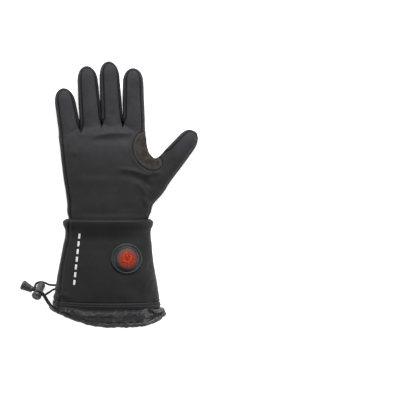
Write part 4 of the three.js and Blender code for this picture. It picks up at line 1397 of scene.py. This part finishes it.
def skirt_rings():
    """Rings down the outside, round the hem tube and back up the inside."""
    spread = columns(SPREAD, SPREAD_COLUMNS)
    angles = np.linspace(0.0, 2 * math.pi, SKIRT_COLUMNS, endpoint=False)
    side = np.sign(np.cos(angles)) * np.abs(np.cos(angles)) ** 0.85
    fold = GATHER_DEPTH / 2 * (np.cos(GATHERS * angles) - 1.0)
    way = np.stack([np.cos(angles) * 0.7, np.zeros(len(angles)), np.sin(angles)], 1)
    way /= np.linalg.norm(way, axis=1)[:, None]
    edge_y = -CUFF_LENGTH - 0.8 + np.where(side < 0, *CUFF_EDGE_RISE) * CUFF_LENGTH * side**2
    rise, curve = np.where(side < 0, *HEM_RISE), np.where(side < 0, *HEM_CURVE)
    hem_y = -CUFF_LENGTH - SKIRT_DROP + rise * SKIRT_DROP * np.abs(side) ** curve
    _, cuff_left, cuff_right, cuff_thickness = CUFF_FORM[-1]
    left, right = cuff_left * CUFF_WIDTH + SKIRT_SEAT, cuff_right * CUFF_WIDTH - SKIRT_SEAT
    high = cuff_thickness * CUFF_THICKNESS - SKIRT_SEAT
    # Each form is a middle, a half width, a lowest and a highest point, a floor and a squareness.
    throat = np.array([(left + right) / 2, (right - left) / 2, SKIRT_SEAT - PRESSED_FLAT, high, SKIRT_SEAT,
                       CUFF_SQUARENESS])
    hem = np.array([SKIRT_CENTRE * SKIRT_WIDTH, SKIRT_WIDTH / 2, HEM_RADIUS, SKIRT_THICKNESS - HEM_RADIUS,
                    HEM_RADIUS, HEM_SQUARENESS])

    def wall(share, y, gathered, out=0.0):
        form = throat + (hem - throat) * share
        across, up = superellipse(angles, *form[1:])
        return np.stack([form[0] + across, y, up], 1) + way * (fold * gathered + out)[:, None]

    def side_walls(out):
        rows = [wall(0.0, np.full(SKIRT_COLUMNS, -CUFF_LENGTH + y), 0.1, out) for y in (SKIRT_OVERLAP, 4.0)]
        for along in np.linspace(0.0, 0.92, WALL_ROWS - 2):
            share, gathered = (
                float(through(spread["along"], spread[key], along)) for key in SPREAD_COLUMNS[1:]
            )
            rows.append(wall(share, edge_y + (hem_y - edge_y) * along, gathered, out))
        return rows

    middle = wall(1.0, hem_y, 0.4)
    bead = []
    for degrees in np.linspace(50.0, -230.0, BEAD_ROWS):
        turn = math.radians(degrees)
        bead.append(middle + way * HEM_RADIUS * math.cos(turn)
                    + np.array([0.0, HEM_RADIUS * math.sin(turn), 0.0]))
    return side_walls(0.0) + bead + side_walls(-SKIRT_WALL)[::-1]


def crinkle(points, size, seed):
    """Sharp-edged creases, high along thin ridges and lower between them."""
    return 1.0 - 2.0 * np.abs(wavy(points, size, seed))


def skirt():
    """The skirt's mesh, with its creases, gathers and folds, and how far it lies out of the painted shade below
    the cuff's edge and at its ends.
    """
    rings = skirt_rings()
    cloth = add_mesh("storm_skirt_cloth", in_frame(np.concatenate(rings)),
                     grid_faces(len(rings), SKIRT_COLUMNS, closed_rows=True))
    outward(cloth)
    places, normals = vertex_arrays(cloth)
    below = np.clip((-CUFF_LENGTH - places[:, 1]) / 3.0, 0.0, 1.0)
    stretched = places * np.array([1.0, 0.55, 1.0])
    creases = 2.3 * crinkle(stretched, 11.0, 21.0) + 1.2 * crinkle(places, 5.5, 22.0)
    row = np.repeat(np.arange(len(rings)), SKIRT_COLUMNS)
    inside = row >= len(rings) - WALL_ROWS
    on_bead = (row >= WALL_ROWS) & ~inside
    turn = np.tile(np.linspace(0.0, 2 * math.pi, SKIRT_COLUMNS, endpoint=False), len(rings))
    small_gathers = 0.16 * np.sin(47 * turn + 2.5 * np.sin(5 * turn)) * np.where(on_bead, 1.0, 0.8)
    folds = np.zeros(len(places))
    for x0, y0, x1, y1, width, height in SKIRT_FOLDS:
        wandering = places[:, :2] + wavy(places, 9.0, 23.0)[:, None]
        distance, along = segment_distance(wandering, (x0, y0), (x1, y1))
        fade = np.sin(np.clip(along, 0.05, 0.95) * math.pi) ** 0.6
        folds += height * fade * np.exp(-((distance / width) ** 2))
    folds *= np.where(places[:, 2] > SKIRT_THICKNESS / 2, 1.0, 0.0)
    lift = (creases * np.where(on_bead, 0.35, 0.8) + small_gathers + folds) * below
    places += way_of_wall(normals, inside) * lift[:, None]
    places[:, 2] = np.maximum(places[:, 2], TABLE_CLEARANCE)
    set_places(cloth, places)
    # Painted shade: a share that falls to nothing just below the cuff's edge and near the two ends, to darken
    # the nylon's colour there.
    side = places[:, 0] / (SKIRT_WIDTH / 2)
    cuff_edge = (np.where(side < 0, *CUFF_EDGE_RISE) * side**2 - 1.0) * CUFF_LENGTH
    from_ends = np.minimum(places[:, 0] - PAINTED_SHADE_LEFT, PAINTED_SHADE_RIGHT - places[:, 0])
    out_of_painted_shade = np.minimum((cuff_edge - places[:, 1]) / PAINTED_SHADE_DEPTH, from_ends / PAINTED_SHADE_SPAN)
    set_attribute(cloth, "out_of_painted_shade", np.clip(out_of_painted_shade, 0.0, 1.0))
    return cloth


def way_of_wall(normals, inside):
    """Outward directions, the same on both faces of the wall, so that it keeps its thickness."""
    return np.where(inside[:, None], -normals, normals)


def crinkled_nylon():
    """Thin coated nylon with a fine plain weave, its colour painted lighter along its creases as painted
    highlights and darker below the cuff's edge as painted shade.
    """
    material, shader, add = shader_nodes("crinkled_nylon")
    place = object_place(add)
    drawn = add("ShaderNodeVectorMath", {0: place, 1: (1.0, 0.6, 1.0)}, operation="MULTIPLY").outputs[0]
    creases = add("ShaderNodeTexNoise", {"Vector": drawn, "Scale": 260.0, "Detail": 5.0, "Roughness": 0.62},
                  noise_type="RIDGED_MULTIFRACTAL", normalize=True).outputs["Fac"]
    # Painted highlight: the colour is lighter along the crease ridges.
    cloth = blended(add, curve_between(add, creases, 0.2, 0.85), *NYLON_TONE_AND_PAINTED_HIGHLIGHT)
    # Painted shade below the cuff's edge and at the ends.
    out_of_shade = curve_between(add, attribute_value(add, "out_of_painted_shade"), 0.15, 0.95)
    creased = bumped(add, creases, 0.8, 0.9)
    feed(shader, Base_Color=blended(add, out_of_shade, NYLON_PAINTED_SHADE, cloth), Roughness=0.42,
         Specular_IOR_Level=0.6, Normal=bumped(add, speckle(add, place, 2600.0), 0.3, 0.08, Normal=creased))
    return material


skirt_piece = skirt()
skirt_piece.data.materials.append(crinkled_nylon())
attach(skirt_piece, "glove")
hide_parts("storm_skirt")

# Push button
# A moulded rubber bezel bonded to the cuff's back, with a rim round its flange and a raised collar,
# and the translucent silicone pad inside it, lit from below. The pad presses straight in.
BUTTON_PLACE = (21.787, -44.078, 43.93)
BUTTON_NORMAL = (0.13503, 0.17092, 0.97599)
BEZEL_PROFILE = [
    (0.0, -2.6),
    (18.0, -2.6),
    (18.2, -2.3),
    (18.2, 0.9),
    (18.1, 1.4),
    (17.8, 1.8),
    (17.4, 2.05),
    (17.0, 2.1),
    (16.6, 2.0),
    (16.3, 1.75),
    (16.1, 1.55),
    (15.8, 1.5),
    (15.0, 2.1),
    (14.3, 3.0),
    (13.7, 4.1),
    (13.45, 4.75),
    (13.15, 5.1),
    (12.8, 5.2),
    (12.5, 5.1),
    (12.36, 4.8),
    (12.35, 1.8),
    (0.0, 1.8),
]
PAD_PROFILE = [
    (0.0, 2.95),
    (12.0, 2.95),
    (12.0, 5.5),
    (11.85, 5.85),
    (11.5, 6.05),
    (11.0, 6.15),
    (9.6, 6.35),
    (8.0, 6.75),
    (6.0, 7.1),
    (4.0, 7.28),
    (2.0, 7.37),
    (0.0, 7.4),
]
LATHE_SIDES = 96
SHARP_ANGLE = math.radians(38.0)
BEZEL_BLACK = (0.0125, 0.0175, 0.017, 1.0)
# The pad's glow fades from PAD_CORE to PAD_EDGE, measured from the button's axis.
PAD_CORE = 6.0
PAD_EDGE = 11.8
PAD_GLOW = (1.0, 0.06, 0.008, 1.0)
PAD_GLOW_EDGE = (0.07, 0.008, 0.005, 1.0)
SIGN_GLOW = (1.0, 0.17, 0.012, 1.0)
SIGN_GLOW_EDGE = (0.9, 0.12, 0.01, 1.0)
SILICONE_TONES = ((0.07, 0.006, 0.003, 1.0), (0.06, 0.035, 0.03, 1.0))


def turned(name, profile, place, direction, sides=LATHE_SIDES):
    """A solid of revolution round a direction, standing on a place, from pairs of radius and height."""
    turns = np.linspace(0.0, 2 * math.pi, sides, endpoint=False)
    rings = [np.stack([radius * np.cos(turns), radius * np.sin(turns), np.full(sides, height)], 1)
             for radius, height in profile[1:-1]]
    points, faces = capped(rings, (0.0, 0.0, profile[0][1]), (0.0, 0.0, profile[-1][1]))
    spin = Vector((0.0, 0.0, 1.0)).rotation_difference(Vector(direction)).to_matrix()
    placed = points @ np.array(spin).T + np.array(place)
    obj = outward(add_mesh(name, in_frame(placed), faces))
    obj.data.set_sharp_from_angle(angle=SHARP_ANGLE)
    return obj


def moulded_grain():
    """The fine grain that a spark-eroded mould leaves on plastic and rubber."""
    tree, add, given, result = shader_group(
        "moulded_grain",
        [("Place", "NodeSocketVector", None)],
        [("Height", "NodeSocketFloat"), ("Roughness", "NodeSocketFloat")],
    )
    tree.links.new(speckle(add, given["Place"], 1800.0), result["Height"])
    wear_and_painted_highlight = speckle(add, given["Place"], 160.0, 3.0)
    tree.links.new(curve_between(add, wear_and_painted_highlight, 0.3, 0.7, 0.4, 0.56), result["Roughness"])
    return tree


MOULDED_GRAIN = moulded_grain()


def moulded(name, colour):
    """Moulded rubber or plastic of one colour."""
    material, shader, add = shader_nodes(name)
    grain = add("ShaderNodeGroup", {"Place": object_place(add)}, node_tree=MOULDED_GRAIN).outputs
    relief = bumped(add, grain["Height"], 0.3, 0.06)
    feed(shader, Base_Color=colour, Roughness=grain["Roughness"], Normal=relief)
    return material


def lit_silicone(name, core, edge, strength):
    """Translucent silicone with a beaded face, lit from behind and brightest near the button's axis."""
    material, shader, add = shader_nodes(name)
    middle = tuple(in_frame(BUTTON_PLACE))
    away = add("ShaderNodeVectorMath", {0: object_place(add), 1: middle}, operation="SUBTRACT").outputs[0]
    level = add("ShaderNodeVectorMath", {0: away, 1: BUTTON_NORMAL}, operation="CROSS_PRODUCT").outputs[0]
    radius = add("ShaderNodeVectorMath", {0: level}, operation="LENGTH").outputs["Value"]
    outwards = curve_between(add, radius, PAD_CORE * MM, PAD_EDGE * MM)
    beads = add("ShaderNodeTexVoronoi", {"Vector": away, "Scale": 620.0}).outputs["Distance"]
    between_beads = (core[0] * 0.3, core[1] * 0.3, core[2] * 0.5, 1.0)
    dimmed = blended(add, curve_between(add, beads, 0.15, 0.6), core, between_beads)
    feed(shader, Emission_Color=blended(add, outwards, dimmed, edge), Emission_Strength=strength,
         Base_Color=blended(add, outwards, *SILICONE_TONES), Normal=bumped(add, beads, 0.6, 0.3),
         Roughness=0.5, Specular_IOR_Level=0.15)
    return material


bezel_piece = turned("button_bezel_ring", BEZEL_PROFILE, BUTTON_PLACE, BUTTON_NORMAL)
bezel_piece.data.materials.append(moulded("bezel_rubber", BEZEL_BLACK))
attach(bezel_piece, "glove")
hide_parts("button_bezel")

SYMBOL_RADIUS = 5.0
SYMBOL_STROKE = 1.3
SYMBOL_OPENING = math.radians(38.0)
SYMBOL_RISE = 0.12
SYMBOL_BAR_FOOT = 1.2


def on_pad(across, along):
    """A place on the pad's dome, from its middle, in millimetres."""
    profile = np.array(PAD_PROFILE[2:][::-1])
    height = float(np.interp(math.hypot(across, along), profile[:, 0], profile[:, 1])) + SYMBOL_RISE
    spin = Vector((0.0, 0.0, 1.0)).rotation_difference(Vector(BUTTON_NORMAL)).to_matrix()
    return np.array(BUTTON_PLACE) + np.array(spin @ Vector((across, along, height)))


def united(name, first, *others):
    """Several meshes as one object, with their materials side by side."""
    with bpy.context.temp_override(active_object=first, selected_editable_objects=[first, *others],
                                   selected_objects=[first, *others], object=first):
        bpy.ops.object.join()
    first.name = name
    return first


def lit_pad():
    """The pad with a raised on-and-off sign: an open ring and a bar in its opening."""
    pad = turned("pad_dome", PAD_PROFILE, BUTTON_PLACE, BUTTON_NORMAL)
    pad.data.materials.append(lit_silicone("lit_silicone", PAD_GLOW, PAD_GLOW_EDGE, 0.55))
    angles = np.linspace(math.pi / 2 + SYMBOL_OPENING, 2.5 * math.pi - SYMBOL_OPENING, 48)
    arc = [on_pad(SYMBOL_RADIUS * math.cos(a), SYMBOL_RADIUS * math.sin(a)) for a in angles]
    heights = np.linspace(SYMBOL_BAR_FOOT, SYMBOL_RADIUS + SYMBOL_BAR_FOOT, 12)
    bar = [on_pad(0.0, height) for height in heights]
    bright = lit_silicone("lit_symbol", SIGN_GLOW, SIGN_GLOW_EDGE, 0.75)
    strokes = []
    for name, line in (("symbol_arc", arc), ("symbol_bar", bar)):
        stroke = tube_mesh(name, in_frame(line), SYMBOL_STROKE / 2 * MM, 10)
        stroke.data.materials.append(bright)
        strokes.append(stroke)
    return united("lit_button_pad", pad, *strokes)


pad_piece = lit_pad()
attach(pad_piece, "pad")
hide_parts("button_pad")

# Cord lock and cord end
# A moulded barrel with a cross slot for the two strands, a sprung plunger that clamps them, and a
# tapered bell that grips their ends.
LOCK_RADIUS = 4.6
PLUNGER_TRAVEL = 2.5
CORD_CLEARANCE = 0.35
CORD_LEAN = 1.4
BARREL_SLOT_ROOM = 0.4
PLUNGER_SLOT_ROOM = 0.8
FITTING_SIDES = 64
TRIM_GREY = (0.035, 0.035, 0.036, 1.0)
CORD_END_TURN = (-12.2, 6.1, -0.4)
CORD_END_GRIP = 4.4
BARREL_PROFILE = [
    (0.0, -0.4),
    (3.4, -0.4),
    (4.0, -0.25),
    (4.45, 0.2),
    (4.6, 0.8),
    (4.6, 2.2),
    (4.4, 2.4),
    (4.4, 3.0),
    (4.6, 3.2),
    (4.6, 12.3),
    (4.8, 12.6),
    (5.05, 12.9),
    (5.1, 13.3),
    (5.1, 13.7),
    (4.85, 14.0),
    (3.8, 14.0),
    (3.5, 13.8),
    (3.5, 1.2),
    (0.0, 1.2),
]
PLUNGER_PROFILE = [
    (0.0, 4.05),
    (3.0, 4.05),
    (3.15, 4.2),
    (3.15, 16.85),
    (5.2, 16.85),
    (5.75, 17.1),
    (5.9, 17.6),
    (5.9, 18.9),
    (5.75, 19.7),
    (5.2, 20.5),
    (4.5, 20.95),
    (3.8, 21.15),
    (3.4, 21.1),
    (3.1, 20.9),
    (0.0, 20.85),
]
BELL_PROFILE = [
    (0.0, 0.0),
    (3.2, 0.0),
    (3.7, 0.2),
    (3.9, 0.6),
    (4.1, 2.6),
    (4.0, 2.9),
    (4.15, 3.2),
    (4.8, 6.6),
    (5.5, 10.9),
    (5.9, 11.7),
    (6.1, 12.4),
    (6.0, 13.3),
    (5.5, 14.1),
    (4.7, 14.7),
    (3.6, 15.0),
    (0.0, 15.0),
]


def carved(obj, *cutters):
    """The object with other solids cut out of it, and its sharp edges marked again."""
    for number, cutter in enumerate(cutters):
        modifier = obj.modifiers.new(f"cut_{number}", "BOOLEAN")
        modifier.object = cutter
        modifier.operation = "DIFFERENCE"
        modifier.solver = "EXACT"
    bpy.context.view_layer.update()
    applied(obj)
    for cutter in cutters:
        bpy.data.objects.remove(cutter)
    obj.data.set_sharp_from_angle(angle=SHARP_ANGLE)
    return obj


strand_heading = np.array(DRAWCORD_ROUTE[5]) - np.array(DRAWCORD_ROUTE[3])
slot_across = strand_heading - lock_axis * strand_heading.dot(lock_axis)
slot_across /= np.linalg.norm(slot_across)
slot_side = np.cross(lock_axis, slot_across)
slot_height = (np.array(DRAWCORD_ROUTE[4]) - np.array(LOCK_FOOT)).dot(lock_axis)
slot_half = (STRAND_SPACING + DRAWCORD) / 2 + CORD_CLEARANCE


def slot_cutter(extra_up, extra_down):
    """A box across the lock where the strands run through it."""
    up, down = slot_half + extra_up, slot_half + extra_down
    half = np.array([2 * LOCK_RADIUS, DRAWCORD / 2 + 2 * CORD_CLEARANCE, (up + down) / 2])
    centre = np.array(LOCK_FOOT) + lock_axis * (slot_height + (up - down) / 2)
    ways = np.stack([slot_across, slot_side, lock_axis])
    corners = [centre + (half * np.array(sign)) @ ways
               for sign in ((-1, -1, -1), (1, -1, -1), (1, 1, -1), (-1, 1, -1),
                            (-1, -1, 1), (1, -1, 1), (1, 1, 1), (-1, 1, 1))]
    faces = [(0, 3, 2, 1), (4, 5, 6, 7), (0, 1, 5, 4), (1, 2, 6, 5), (2, 3, 7, 6), (3, 0, 4, 7)]
    return outward(add_mesh("slot_cutter", in_frame(corners), faces))


def grown_cord(route, shift, diameter):
    """A cord a little thicker than its own size, to cut its way through a moulding."""
    return tube_mesh("cord_cutter", cord_path(route, shift), (diameter / 2 + CORD_CLEARANCE) * MM)


trim_plastic = moulded("trim_plastic", TRIM_GREY)
barrel_piece = carved(
    turned("lock_barrel_moulding", BARREL_PROFILE, LOCK_FOOT, LOCK_DIRECTION, FITTING_SIDES),
    slot_cutter(BARREL_SLOT_ROOM, BARREL_SLOT_ROOM),
    grown_cord(DRAWCORD_ROUTE, 1.0, DRAWCORD),
    grown_cord(DRAWCORD_ROUTE, -1.0, DRAWCORD),
    grown_cord(TETHER_ROUTE, 0.0, TETHER),
)
plunger_piece = carved(
    turned("lock_plunger_button", PLUNGER_PROFILE, LOCK_FOOT, LOCK_DIRECTION, FITTING_SIDES),
    slot_cutter(PLUNGER_TRAVEL + CORD_LEAN, PLUNGER_SLOT_ROOM),
)
bell_axis = np.array(Vector(CORD_END_TURN).normalized())
bell_foot = np.array(DRAWCORD_ROUTE[-1]) - bell_axis * CORD_END_GRIP
bell_piece = turned("cord_end_bell", BELL_PROFILE, bell_foot, CORD_END_TURN, FITTING_SIDES)
for piece, body, node_name in (
    (barrel_piece, "glove", "lock_barrel"),
    (plunger_piece, "plunger", "lock_plunger"),
    (bell_piece, "glove", "cord_end"),
):
    piece.data.materials.clear()
    piece.data.materials.append(trim_plastic)
    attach(piece, body)
    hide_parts(node_name)
